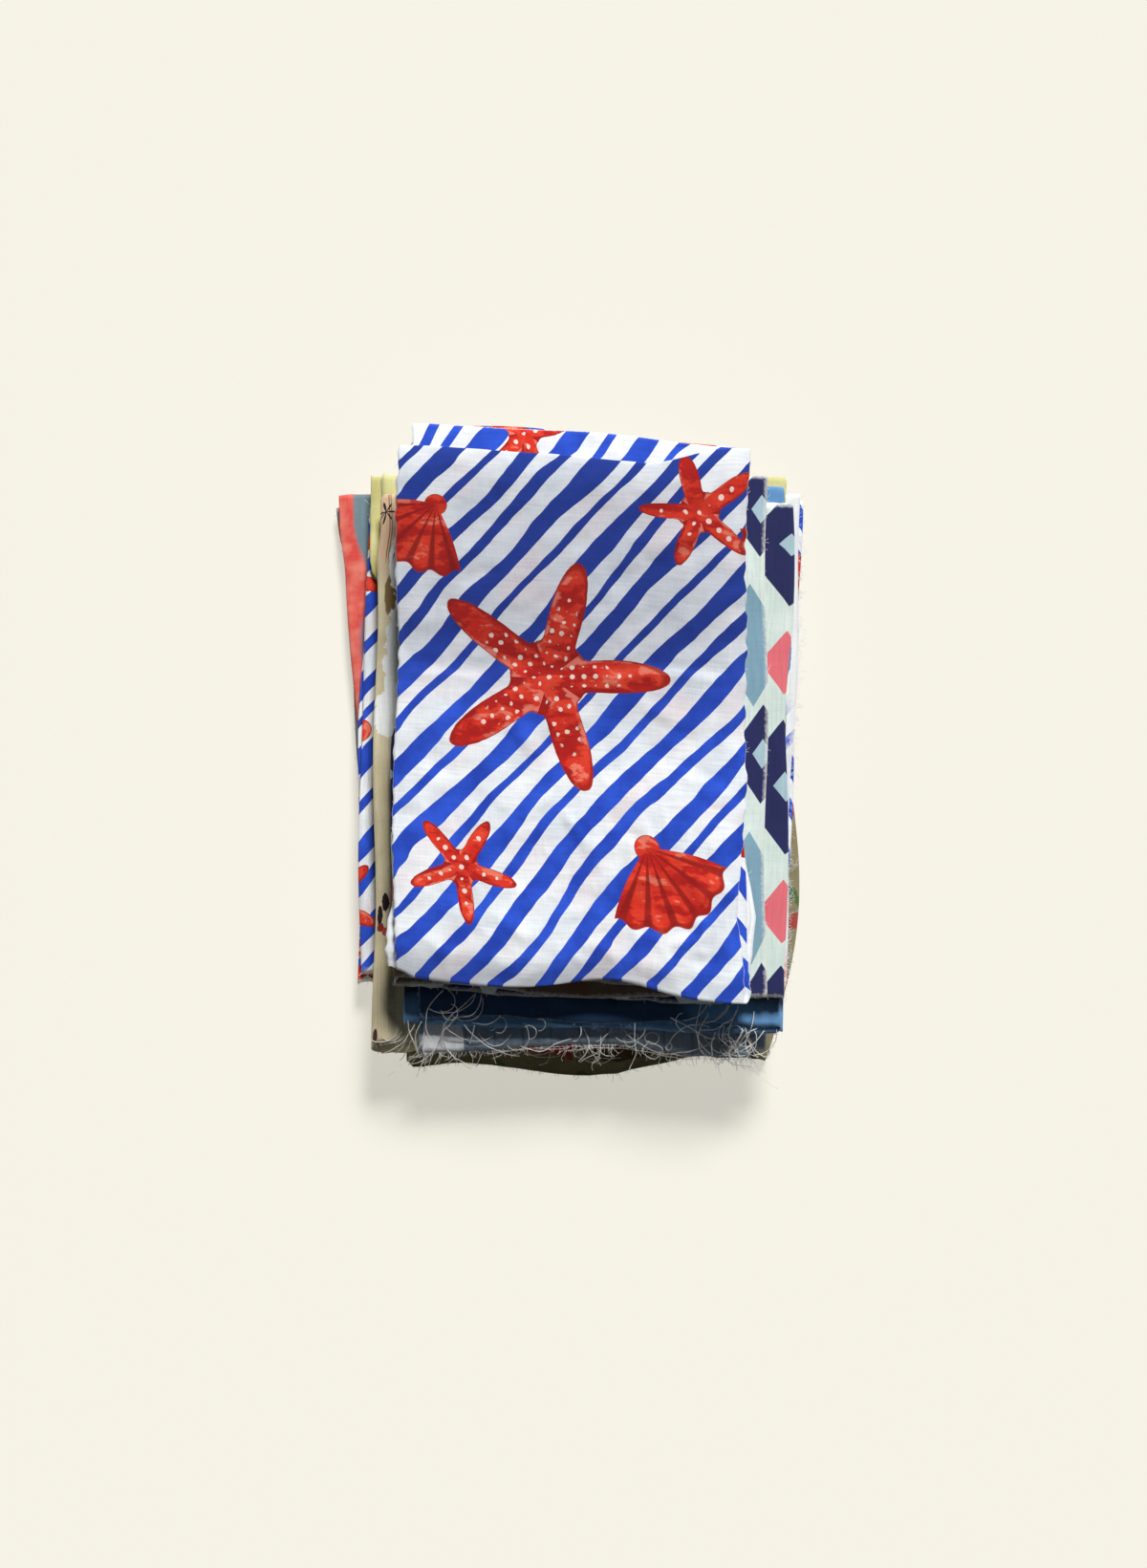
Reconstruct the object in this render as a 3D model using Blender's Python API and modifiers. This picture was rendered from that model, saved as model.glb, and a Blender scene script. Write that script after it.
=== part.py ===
"""A bundle of nine folded cotton remnants, stacked one on another.

Every remnant is one sheet folded back and forth, so its solid is one winding
section that runs from the free end of the top layer, round each fold, to the
free end of the bottom layer. The sheets share one pile of levels, which bows
down towards the edges of the bundle and sags where it hangs over. The fourth
remnant has a ravelled front edge, whose threads stand on a strip of their own.

Metres, +X to the right, +Y to the back, +Z up. The origin is on the floor,
in the middle of the bundle's box.
"""

import math
from collections import namedtuple

import bmesh
import bpy
from mathutils import Vector

MM = 0.001

# The pile of levels, with some more air between two cloths than inside one
SHEET = 1.0 * MM
PITCH = 1.45 * MM
CLOTH_AIR = 0.35 * MM
STRIP_GAP = 0.42 * MM

# How far the pile bows down, and where from
BOW_DROP = 2.4 * MM
BOW_HALF_X = 95 * MM
BOW_HALF_Y = 130 * MM

# Where a sheet is bent most: distances from its edges, and faces round a fold
EDGE_BENDS = (9 * MM, 22 * MM)
FOLD_STEPS = 4
MIDDLE_STEPS = 3

# How unevenly the layers lie, and how far one layer's unevenness is turned from the last
FOLD_STAGGER = 1.3 * MM
FOLD_TURN = 2.3
RAW_STAGGER = 1.1 * MM
RAW_TURN = 2.1
WOBBLE = 0.8 * MM
WOBBLE_LENGTH_X = 83 * MM
WOBBLE_LENGTH_Y = 117 * MM
WOBBLE_TURN_X = 1.9
WOBBLE_TURN_Y = 2.6

# The top cloth is loose: it swells on both sides of an old crease
SWELL = 1.4 * MM
CREASE_Y = 31 * MM
CREASE_WIDTH = 14 * MM
SWELL_HALF_Y = 118 * MM

# It turns down behind a ridge along its back edge, where its left corner is tucked in
RIDGE = 1.5 * MM
RIDGE_BACK = 9 * MM
RIDGE_FRONT = 22 * MM
TUCK = 5 * MM
TUCK_WIDTH = 22 * MM

# Its front edge is drawn in a little, right of the middle
FRONT_DIP = 4.5 * MM
FRONT_DIP_X = 17 * MM
FRONT_DIP_WIDTH = 22 * MM
FRONT_DIP_Y = -98 * MM

# A soft roll just inside a fold: share of its reach from the fold, share of its height
ROLL_PROFILE = ((1.0, 0.0), (0.62, 0.72), (0.32, 1.0), (0.1, 0.86))
ROLL_END = 0.55

# The ravelled edge
STRIP_WIDTH = 1.6 * MM
STRAND_COUNT = 40
STRAND_STEPS = 3
STRAND_THICK = 0.55 * MM
STRAND_LENGTH = 4.4 * MM
STRAND_SAG = 3.4 * MM
STRAND_FAN = 0.9
STRAND_SWAY = 0.35
STRAND_CROWDING = 0.045

# folds_at: "ends" has folds at the front and back, "sides" at the left and right.
# open_edge: the edge where the top layer's free end lies, on the side of the folds.
# Corners are x, y in millimetres. step_back is how far the top layer's free end stands
# back from that edge, and slips how far the top layer and the rest slide along the folds.
# roll is the layer that ends in a soft roll, with the roll's height and reach.
# bulge is how far the right edge bellies out, and wave how far the front edge does.
# steps is the number of faces along the middle of a layer.
Cloth = namedtuple(
    "Cloth",
    "name layers folds_at open_edge back_left back_right front_right front_left "
    "step_back slips roll bulge wave steps colour",
)

CLOTHS = (
    Cloth("cloth_stripe_top", 6, "ends", "back", (-69, 129), (68, 119), (67, -104), (-69, -94),
          1, (0, 1.2), None, 0, 0, 5, (0.62, 0.66, 0.84)),
    Cloth("cloth_geometric", 5, "sides", "right", (-72, 108), (87, 104), (84, -102), (-70, -97),
          8, (4, -1), (1, 1.2, 6), 0, 0, 2, (0.30, 0.38, 0.50)),
    Cloth("cloth_blue", 4, "sides", "left", (-68, 107), (87, 107), (85, -112), (-65, -108),
          5, (0, -2), None, 0, 0, 2, (0.10, 0.22, 0.48)),
    Cloth("cloth_grey_blue", 3, "sides", "right", (-63, 100), (79, 100), (77, -118.5), (-60, -119),
          6, (0, 2), None, 0, 0, 2, (0.30, 0.38, 0.47)),
    Cloth("cloth_beige", 4, "sides", "right", (-78.5, 107), (80, 105), (78, -108), (-77.5, -119),
          4, (0, -2), (0, 2.8, 9), 0, 0, 2, (0.55, 0.46, 0.30)),
    Cloth("cloth_lime", 3, "sides", "left", (-84, 117), (91, 116), (80, -104), (-76, -104),
          7, (0, -2), None, 0, 0, 2, (0.68, 0.72, 0.32)),
    Cloth("cloth_stripe_low", 4, "sides", "right", (-87, 104), (97, 109), (87, -96), (-85.5, -89),
          1, (0, -3), None, 0, 0, 2, (0.62, 0.66, 0.84)),
    Cloth("cloth_coral", 3, "sides", "right", (-97, 110), (81, 110), (83, -106), (-81, -88),
          6, (0, -3), None, 0, 0, 2, (0.72, 0.12, 0.10)),
    Cloth("cloth_floral", 4, "sides", "right", (-86, 98), (87, 100), (80, -123), (-67, -126),
          2, (0, 2), None, 14, 6, 5, (0.22, 0.20, 0.12)),
)
FRAYED = "cloth_grey_blue"

WAVE_LENGTH = 110 * MM
WAVE_PEAK_X = 3 * MM

# Where cloth hangs over the edge of what is under it, it sags. The line is the edge that
# carries it, in millimetres, with the outside on its left; depth is the sag at that reach.
Overhang = namedtuple("Overhang", "cloths_above start end reach depth")
OVERHANGS = (
    Overhang("cloth_floral", (-67, -125), (-86, 98), 20, 2.2),
    Overhang("cloth_floral", (-86, 100), (87, 100), 27, 2.4),
    Overhang("cloth_lime", (80, -104), (-76, -104), 16, 1.5),
)


def clear_scene():
    for old in list(bpy.data.objects):
        bpy.data.objects.remove(old, do_unlink=True)


def material(name, colour, roughness=0.9):
    made = bpy.data.materials.new(name)
    made.use_nodes = True
    shader = made.node_tree.nodes["Principled BSDF"]
    shader.inputs["Base Color"].default_value = (*colour, 1)
    shader.inputs["Roughness"].default_value = roughness
    shader.inputs["Metallic"].default_value = 0
    return made


def top_heights():
    """Height of the middle of every cloth's top sheet, from the top cloth down."""
    heights = []
    floor = SHEET / 2
    for cloth in reversed(CLOTHS):
        heights.insert(0, floor + (cloth.layers - 1) * PITCH)
        floor += cloth.layers * PITCH + CLOTH_AIR
    return heights


def sag_at(x, y, cloth_order):
    """How far a cloth sags at a place where those under it end."""
    total = 0
    names = [cloth.name for cloth in CLOTHS]
    for over in OVERHANGS:
        if cloth_order >= names.index(over.cloths_above):
            continue
        start, end = Vector(over.start) * MM, Vector(over.end) * MM
        along = (end - start).normalized()
        beyond = along.x * (y - start.y) - along.y * (x - start.x)
        reach = over.reach * MM
        if beyond > 0:
            total += over.depth * MM * min(beyond / reach, 1.5) ** 2
    return total


def settled(x, y, z, cloth_order, height_of_pile):
    """The height z once the pile bows down at its edges and sags beyond its support."""
    share = (z - SHEET / 2) / height_of_pile
    drop = (x / BOW_HALF_X) ** 4 + (y / BOW_HALF_Y) ** 4
    return z - share * BOW_DROP * min(drop, 2) - sag_at(x, y, cloth_order)


def swelling(y):
    """Share of the top cloth's swell: none in its crease and little at its ends."""
    crease = math.exp(-((y - CREASE_Y) / CREASE_WIDTH) ** 2)
    ends = min(1, (y / SWELL_HALF_Y) ** 4)
    return (1 - crease) * (1 - ends)


def ridge_share(along):
    """Share of the ridge's height at a distance from the top cloth's back edge."""
    if along < RIDGE_BACK:
        return max(0, along / RIDGE_BACK)
    return max(0, 1 - (along - RIDGE_BACK) / (RIDGE_FRONT - RIDGE_BACK))


def tucked(x, y, along, from_left):
    """The top cloth's outline with its back left corner tucked in and its front drawn in."""
    corner = max(0, 1 - along / RIDGE_BACK) * max(0, 1 - from_left / TUCK_WIDTH)
    dip = math.exp(-((x - FRONT_DIP_X) / FRONT_DIP_WIDTH) ** 2)
    front = min(1, max(0, y / FRONT_DIP_Y)) ** 8
    return x + TUCK * corner, y + FRONT_DIP * dip * front


def spaced(start, end, steps, roll_reach=0):
    """Places from start to end, closer together near both. A roll has its own at the end."""
    side = 1 if end > start else -1
    first = [start] + [start + side * bend for bend in EDGE_BENDS]
    last = [end - side * bend for bend in reversed(EDGE_BENDS)] + [end]
    if roll_reach:
        last = [end - side * EDGE_BENDS[1]]
        last += [end - side * share * roll_reach for share, _ in ROLL_PROFILE] + [end]
    middle = [
        first[-1] + (last[0] - first[-1]) * step / steps
        for step in range(1, steps)
    ]
    return first + middle + last


def wobbled(x, y, layer, seed):
    """A small slide in the plane, which changes from layer to layer."""
    turn = 2 * math.pi
    dx = WOBBLE * math.sin(turn * y / WOBBLE_LENGTH_Y + WOBBLE_TURN_X * layer + seed)
    dy = WOBBLE * math.sin(turn * x / WOBBLE_LENGTH_X + WOBBLE_TURN_Y * layer + 2 * seed)
    return x + dx, y + dy


class Sheet:
    """The middle surface of one folded cloth."""

    def __init__(self, order, top_height, height_of_pile):
        self.cloth = cloth = CLOTHS[order]
        self.order = order
        self.top_height = top_height
        self.height_of_pile = height_of_pile
        corners = (cloth.back_left, cloth.back_right, cloth.front_right, cloth.front_left)
        back_left, back_right, front_right, front_left = [Vector(c) * MM for c in corners]
        if cloth.folds_at == "ends":
            self.open_line = (back_left, back_right)
            self.far_line = (front_left, front_right)
        elif cloth.open_edge == "right":
            self.open_line = (back_right, front_right)
            self.far_line = (back_left, front_left)
        else:
            self.open_line = (back_left, front_left)
            self.far_line = (back_right, front_right)

    def fold_inset(self, fold):
        """How far a fold stands inside the cloth's outline."""
        return FOLD_STAGGER * (0.5 + 0.5 * math.sin(FOLD_TURN * fold + self.order))

    def rolled(self, layer):
        """Height and reach of the roll at the end of a layer."""
        roll = self.cloth.roll
        return (roll[1] * MM, roll[2] * MM) if roll and roll[0] == layer else (0, 0)

    def layer_stations(self, layer, start, end):
        """Stations of one layer: distance from the open edge, height and layer."""
        height = self.top_height - layer * PITCH
        roll_height, roll_reach = self.rolled(layer)
        places = spaced(start, end, self.cloth.steps, roll_reach)
        heights = [height] * len(places)
        if roll_height:
            rises = [share for _, share in ROLL_PROFILE] + [ROLL_END]
            for back, rise in enumerate(reversed(rises), 1):
                heights[-back] += roll_height * rise
        return [(place, level, layer) for place, level in zip(places, heights)]

    def fold_stations(self, layer, end, side):
        """Stations round the fold under a layer, without the one that starts it."""
        upper = self.top_height - layer * PITCH + self.rolled(layer)[0] * ROLL_END
        lower = self.top_height - (layer + 1) * PITCH
        radius = (upper - lower) / 2
        made = []
        for step in range(1, FOLD_STEPS + 1):
            angle = math.pi * step / FOLD_STEPS
            out = end + side * radius * math.sin(angle)
            made.append((out, upper - radius * (1 - math.cos(angle)), layer + step / FOLD_STEPS))
        return made

    def stations(self, width):
        """Distance from the open edge, height and layer along the winding section."""
        cloth = self.cloth
        start = cloth.step_back * MM
        points = []
        for layer in range(cloth.layers):
            outward = layer % 2 == 0
            side = 1 if outward else -1
            last = layer == cloth.layers - 1
            inset = PITCH / 2 + (0 if last else self.fold_inset(layer))
            end = width - inset if outward else inset
            made = self.layer_stations(layer, start, end)
            points += made if layer == 0 else made[1:]
            if not last:
                points += self.fold_stations(layer, end, side)
            start = end
        return points

    def slip(self, layer):
        """How far a layer slides along the folds."""
        first, rest = self.cloth.slips
        stagger = RAW_STAGGER * math.sin(RAW_TURN * layer + self.order) * min(layer, 1)
        return (first + (rest - first) * min(layer, 1)) * MM + stagger

    def edges_at(self, share):
        near = self.open_line[0].lerp(self.open_line[1], share)
        far = self.far_line[0].lerp(self.far_line[1], share)
        return near, far

    def place(self, along, height, layer, share):
        """Where a point of the section lies, share of the way between the raw edges."""
        cloth = self.cloth
        near, far = self.edges_at(share)
        spot = near + (far - near).normalized() * along
        slide = (self.open_line[1] - self.open_line[0]).normalized() * self.slip(layer)
        spot -= slide if cloth.folds_at == "sides" else -slide
        x, y = wobbled(spot.x, spot.y, layer, self.order)
        if cloth.bulge and x > 0:
            x += cloth.bulge * MM * math.sin(math.pi * share ** 2) * (x / BOW_HALF_X) ** 2
        if cloth.wave:
            phase = 2 * math.pi * (x - WAVE_PEAK_X) / WAVE_LENGTH
            y -= share ** 3 * cloth.wave * MM * (0.5 + 0.5 * math.cos(phase))
        if self.order == 0:
            loose = SWELL * swelling(y) + RIDGE * ridge_share(along)
            height += loose * (1 - layer / (cloth.layers - 1))
            x, y = tucked(x, y, along, share * (self.open_line[1] - self.open_line[0]).length)
        return Vector((x, y, settled(x, y, height, self.order, self.height_of_pile)))

    def rows(self):
        """One list of points along the winding section for each step between the raw edges."""
        made = []
        length = (self.open_line[1] - self.open_line[0]).length
        for distance in spaced(0, length, MIDDLE_STEPS):
            share = distance / length
            near, far = self.edges_at(share)
            stations = self.stations((far - near).length)
            made.append([self.place(*station, share) for station in stations])
        return made


def surface_object(name, rows, collection):
    """A grid bent to the rows of points."""
    across, along = len(rows) - 1, len(rows[0]) - 1
    mesh = bpy.data.meshes.new(name)
    grid = bmesh.new()
    bmesh.ops.create_grid(grid, x_segments=along, y_segments=across, size=0.5)
    for point in grid.verts:
        column = round((point.co.x + 0.5) * along)
        row = round((point.co.y + 0.5) * across)
        point.co = rows[row][column]
    grid.to_mesh(mesh)
    grid.free()
    made = bpy.data.objects.new(name, mesh)
    collection.objects.link(made)
    return made


def folded_cloth(sheet, collection):
    cloth = sheet.cloth
    made = surface_object(cloth.name, sheet.rows(), collection)
    thicken = made.modifiers.new("thickness", "SOLIDIFY")
    thicken.thickness = SHEET
    thicken.offset = 0
    thicken.use_even_offset = True
    thicken.use_quality_normals = True
    made.data.materials.append(material(cloth.name, cloth.colour))
    made.data.shade_smooth()
    return made


def front_edge(sheet):
    """The front raw edge of the top layer, from left to right, as points on its middle."""
    near, far = sheet.edges_at(1)
    stations = sheet.stations((far - near).length)
    own = [sheet.place(*station, 1) for station in stations if station[2] == 0]
    return sorted(own, key=lambda point: point.x)


def along_edge(edge, share):
    """A point on a polyline at a share of its length in x."""
    x = edge[0].x + (edge[-1].x - edge[0].x) * share
    for left, right in zip(edge, edge[1:]):
        if x <= right.x:
            break
    return left.lerp(right, (x - left.x) / (right.x - left.x))


def crowded_to_ends(share):
    """Moves evenly spaced places towards both ends of the edge."""
    return share - STRAND_CROWDING * math.sin(4 * math.pi * share)


def strand_way(share, index):
    """The way and length of one ravelled thread: longer and fanned out at the corners."""
    corner = 2 * share - 1
    fan = STRAND_FAN * corner ** 5 + STRAND_SWAY * math.sin(2.4 * index)
    length = STRAND_LENGTH * (0.85 + 0.3 * math.sin(1.7 * index + 0.6) + 0.9 * abs(corner) ** 5)
    return Vector((math.sin(fan), -math.cos(fan), 0)), length


def ravelled_edge(sheet, collection):
    """A strip along the front of the cloth's top layer, with a thread on every other face."""
    edge = front_edge(sheet)
    faces = 2 * STRAND_COUNT + 1
    mesh = bpy.data.meshes.new("frayed_edge")
    strip = bmesh.new()
    bmesh.ops.create_grid(strip, x_segments=faces, y_segments=1, size=0.5)
    for point in strip.verts:
        spot = along_edge(edge, crowded_to_ends(point.co.x + 0.5))
        back = point.co.y > 0
        point.co = spot + Vector((0, -STRIP_GAP - (0 if back else STRIP_WIDTH), SHEET / 2))
    body = bmesh.ops.extrude_face_region(strip, geom=strip.faces[:])
    lower = [item for item in body["geom"] if isinstance(item, bmesh.types.BMVert)]
    bmesh.ops.translate(strip, verts=lower, vec=(0, 0, -SHEET))
    bmesh.ops.recalc_face_normals(strip, faces=strip.faces[:])

    strip.normal_update()
    fronts = [face for face in strip.faces if face.normal.y < -0.9]
    fronts.sort(key=lambda face: face.calc_center_median().x)
    for index, face in enumerate(fronts[1::2]):
        share = (2 * index + 1.5) / faces
        way, length = strand_way(share, index)
        for step in range(STRAND_STEPS):
            pushed = bmesh.ops.extrude_discrete_faces(strip, faces=[face])
            face = pushed["faces"][0]
            reached = ((step + 1) ** 2 - step ** 2) / STRAND_STEPS ** 2
            move = way * (length / STRAND_STEPS) + Vector((0, 0, -STRAND_SAG * reached))
            centre = face.calc_center_median()
            for point in face.verts:
                offset = (point.co - centre).normalized() * STRAND_THICK / 2
                point.co = centre + offset + move

    strip.to_mesh(mesh)
    strip.free()
    made = bpy.data.objects.new("frayed_edge", mesh)
    collection.objects.link(made)
    made.data.materials.append(material("frayed_edge", (0.48, 0.52, 0.56)))
    return made


def centre_on_origin(made):
    """Slides every piece so that the middle of the bundle's box is over the origin."""
    bpy.context.view_layer.update()
    graph = bpy.context.evaluated_depsgraph_get()
    corners = [
        piece.matrix_world @ Vector(corner)
        for piece in made
        for corner in piece.evaluated_get(graph).bound_box
    ]
    for axis in (0, 1):
        values = [corner[axis] for corner in corners]
        middle = (min(values) + max(values)) / 2
        for piece in made:
            piece.location[axis] -= middle


def main():
    clear_scene()
    collection = bpy.data.collections.new("fabric_bundle")
    bpy.context.scene.collection.children.link(collection)
    made = []
    heights = top_heights()
    for order, cloth in enumerate(CLOTHS):
        sheet = Sheet(order, heights[order], heights[0] - SHEET / 2)
        made.append(folded_cloth(sheet, collection))
        if cloth.name == FRAYED:
            made.append(ravelled_edge(sheet, collection))
    centre_on_origin(made)


main()
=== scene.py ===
"""Looks of a bundle of nine folded cotton remnants, stacked one on another.

Every remnant is one thin sheet that winds through its layers, from the free end of the
top layer, round each fold, to the free end of the bottom layer. The prints lie in the
flat cloth's own metres, so they run round the folds.

Metres, +X to the right, +Y to the back, +Z up.
"""

import math
from collections import namedtuple

import bmesh
import bpy
import numpy as np
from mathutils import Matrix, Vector
from mathutils.bvhtree import BVHTree


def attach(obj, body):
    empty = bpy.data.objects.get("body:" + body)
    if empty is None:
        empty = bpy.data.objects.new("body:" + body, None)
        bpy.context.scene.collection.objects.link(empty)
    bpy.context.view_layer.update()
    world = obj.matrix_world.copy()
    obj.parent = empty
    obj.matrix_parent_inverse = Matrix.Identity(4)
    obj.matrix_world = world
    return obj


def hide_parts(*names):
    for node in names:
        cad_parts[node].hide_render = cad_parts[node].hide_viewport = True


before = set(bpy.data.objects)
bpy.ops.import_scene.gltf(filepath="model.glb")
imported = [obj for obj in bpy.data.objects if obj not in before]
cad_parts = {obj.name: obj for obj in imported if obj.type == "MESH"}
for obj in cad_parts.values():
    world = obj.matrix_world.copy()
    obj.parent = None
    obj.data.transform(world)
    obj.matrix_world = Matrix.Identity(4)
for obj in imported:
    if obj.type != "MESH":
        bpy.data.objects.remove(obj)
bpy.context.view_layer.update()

MM = 0.001
TURN = 2 * math.pi

# The pile of levels, as in the solids
SOLID_SHEET = 1.0 * MM
PITCH = 1.45 * MM
CLOTH_AIR = 0.35 * MM
BOW_DROP = 2.4 * MM
BOW_HALF_X = 95 * MM
BOW_HALF_Y = 130 * MM
FOLD_STAGGER = 1.3 * MM
FOLD_TURN = 2.3
RAW_STAGGER = 1.1 * MM
RAW_TURN = 2.1
WOBBLE = 0.8 * MM
WOBBLE_LENGTH_X = 83 * MM
WOBBLE_LENGTH_Y = 117 * MM
WOBBLE_TURN_X = 1.9
WOBBLE_TURN_Y = 2.6
SWELL = 1.4 * MM
CREASE_Y = 31 * MM
CREASE_WIDTH = 14 * MM
SWELL_HALF_Y = 118 * MM
TUCK = 5 * MM
TUCK_WIDTH = 22 * MM
TUCK_FADE = 2.5 * MM
FRONT_DIP = 4.5 * MM
FRONT_DIP_X = 17 * MM
FRONT_DIP_WIDTH = 22 * MM
FRONT_DIP_Y = -98 * MM
ROLL_END = 0.55
ROLL_CREST = 0.32
WAVE_LENGTH = 110 * MM
WAVE_PEAK_X = 3 * MM

# How far the solids were slid to bring the middle of their box over the origin
CENTRING = (-0.06 * MM, 0.71 * MM)

# The real cloth's thickness, and how finely a sheet is divided
CLOTH_THICK = 0.6 * MM
EDGE_BAND = 24 * MM
FOLD_STEPS = 10
FOLD_FULLNESS = 1.25
EDGE_GROWTH = 1.13

# Unevenness that the solids don't have
UNEVEN = 0.45 * MM
UNEVEN_LENGTH = 62 * MM
FLUTTER = 0.16 * MM
TOP_FLUTTER = 0.07 * MM
FLUTTER_LENGTH = 26 * MM
EDGE_FLUTTER = 0.18 * MM
EDGE_FLUTTER_LENGTH = 11 * MM
EDGE_FLUTTER_REACH = 6 * MM
RAGGED = 0.35 * MM
RAGGED_LENGTH = 8 * MM
RAGGED_REACH = 4 * MM

# The small pleat at the ridge of the top cloth: how far it lies from the back edge, how
# far it runs to the front under the ridge, how high it stands, and where the cloth is
# level again
PLEAT_BACK = 9 * MM
PLEAT_DEEP = 5 * MM
PLEAT_RISE = 1.6 * MM
PLEAT_CALM = 40 * MM
PLEAT_STEPS = 5
# The ridge strays from a straight line: where from and to along it, and how far, in mm
RidgeStep = namedtuple("RidgeStep", "start end change")
RIDGE_START = 2.1
RIDGE_STEPS = (RidgeStep(0, 50, -1.6), RidgeStep(55, 90, 2.5), RidgeStep(98, 134, -10.5))
BACK_BULGE = 3.0 * MM
BACK_BULGE_X = -12 * MM
BACK_BULGE_WIDTH = 42 * MM

# How far the top cloth's raw edges lie outside their straight lines, in millimetres, by
# how far back they are: the top layer's right edge, then the others' right and left.
# Of the others, only the tongue's layers lie outside.
EdgeMove = namedtuple("EdgeMove", "y top_right under_right under_left")
EDGE_MOVES = (
    EdgeMove(-104, 0.0, 0.0, 0.5),
    EdgeMove(-86, -1.5, 1.5, 2.6),
    EdgeMove(-70, -3.0, 3.0, 2.5),
    EdgeMove(-56, -1.5, 1.0, -2.0),
    EdgeMove(-40, 0.5, -2.5, -2.5),
    EdgeMove(-20, 2.0, -2.5, -2.5),
    EdgeMove(12, 0.4, -2.5, -2.5),
    EdgeMove(50, 1.3, -2.5, -2.5),
    EdgeMove(115, 3.8, -1.5, -2.5),
)
SIDE_REACH = 28 * MM
CORNER_ROUND = 2.5 * MM
CORNER_REACH = 8 * MM
CORNER_FROM_FRONT = (70 * MM, 94 * MM)
FRONT_DROOP = 1.5 * MM
FRONT_DROOP_REACH = 12 * MM
SIDE_DROOP = 0.7 * MM
SIDE_DROOP_REACH = 7 * MM

# The tongue of two lower layers at the top cloth's left, and the lower folds at its
# front, which lie further in than the top one
TONGUE_LAYERS = (2, 3)
FRONT_FOLDS_IN = 2.2 * MM
FRONT_FOLDS_REACH = 20 * MM

# Corners and edges that lie a little off their straight lines, in millimetres. A shift
# grows from none at the first place to full at the second, along x and along y, and it
# moves the layers from first to last.
Shift = namedtuple("Shift", "cloth x_from x_to y_from y_to move_x move_y first last")
SHIFTS = (
    Shift("geometric", -45, -70, 0, 14, 3.0, 0, 0, 9),
    Shift("geometric", 50, 72, 72, 100, 0, -5.0, 1, 9),
    Shift("geometric", 60, 84, 0, 60, 2.3, 0, 1, 9),
    Shift("geometric", 52, 74, -70, -96, 0, -4.2, 0, 0),
    Shift("geometric", 52, 74, -70, -96, 0, 2.6, 1, 9),
    Shift("geometric", -6, -44, -70, -96, 0, 2.2, 1, 9),
    Shift("blue", 56, 78, -60, -100, -1.5, 0, 0, 9),
    Shift("grey_blue", -14, -52, -80, -114, 0, -3.6, 0, 9),
    Shift("grey_blue", 6, 50, -80, -114, 0, -4.6, 0, 9),
    Shift("beige", -58, -74, 76, 96, 2.2, -2.0, 0, 9),
    Shift("lime", -58, -84, 78, 66, 4.5, 0, 0, 9),
    Shift("lime", -50, -78, 66, 84, -0.8, 0, 0, 9),
    Shift("lime", 62, 82, 40, 90, -1.6, 0, 0, 9),
    Shift("stripe_low", -58, -82, 8, 98, 3.6, 0, 0, 9),
    Shift("coral", -70, -92, 76, 98, -1.8, 0, 0, 9),
)

# folds_at, open_edge, corners, step_back, slips, roll, bulge and wave are those of the
# solids. fine is the size of a face near the edges, middle the number of faces between
# them, and lift how much the top layer's edges curl up.
Cloth = namedtuple(
    "Cloth",
    "name layers folds_at open_edge back_left back_right front_right front_left "
    "step_back slips roll bulge wave fine middle lift",
)

CLOTHS = (
    Cloth("stripe_top", 6, "ends", "back", (-69, 129), (68, 119), (67, -104), (-69, -94),
          1, (0, 1.2), None, 0, 0, 1.2, 16, 0.5),
    Cloth("geometric", 5, "sides", "right", (-72, 108), (87, 104), (84, -102), (-70, -97),
          8, (4, -1), (1, 1.2, 6), 0, 0, 2.2, 18, 1.0),
    Cloth("blue", 4, "sides", "left", (-68, 107), (87, 107), (85, -112), (-65, -108),
          5, (0, -2), None, 0, 0, 2.2, 18, 1.2),
    Cloth("grey_blue", 3, "sides", "right", (-63, 100), (79, 100), (77, -118.5), (-60, -119),
          6, (0, 2), None, 0, 0, 2.0, 18, 1.5),
    Cloth("beige", 4, "sides", "right", (-78.5, 107), (80, 105), (78, -108), (-77.5, -119),
          4, (0, -2), (0, 2.8, 9), 0, 0, 2.0, 18, 1.0),
    Cloth("lime", 3, "sides", "left", (-84, 117), (91, 116), (80, -104), (-76, -104),
          7, (0, -2), None, 0, 0, 2.2, 18, 1.5),
    Cloth("stripe_low", 4, "sides", "right", (-87, 104), (97, 109), (87, -96), (-85.5, -89),
          1, (0, -3), None, 0, 0, 2.0, 18, 3.0),
    Cloth("coral", 3, "sides", "right", (-97, 110), (81, 110), (83, -106), (-81, -88),
          6, (0, -3), None, 0, 0, 2.2, 18, 1.0),
    Cloth("floral", 4, "sides", "right", (-86, 98), (87, 100), (80, -123), (-67, -126),
          2, (0, 2), None, 14, 6, 2.0, 18, 2.5),
)
NAMES = [cloth.name for cloth in CLOTHS]

Overhang = namedtuple("Overhang", "cloths_above start end reach depth")
OVERHANGS = (
    Overhang("floral", (-67, -125), (-86, 98), 20, 2.2),
    Overhang("floral", (-86, 100), (87, 100), 27, 2.4),
    Overhang("lime", (80, -104), (-76, -104), 16, 1.5),
)

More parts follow.
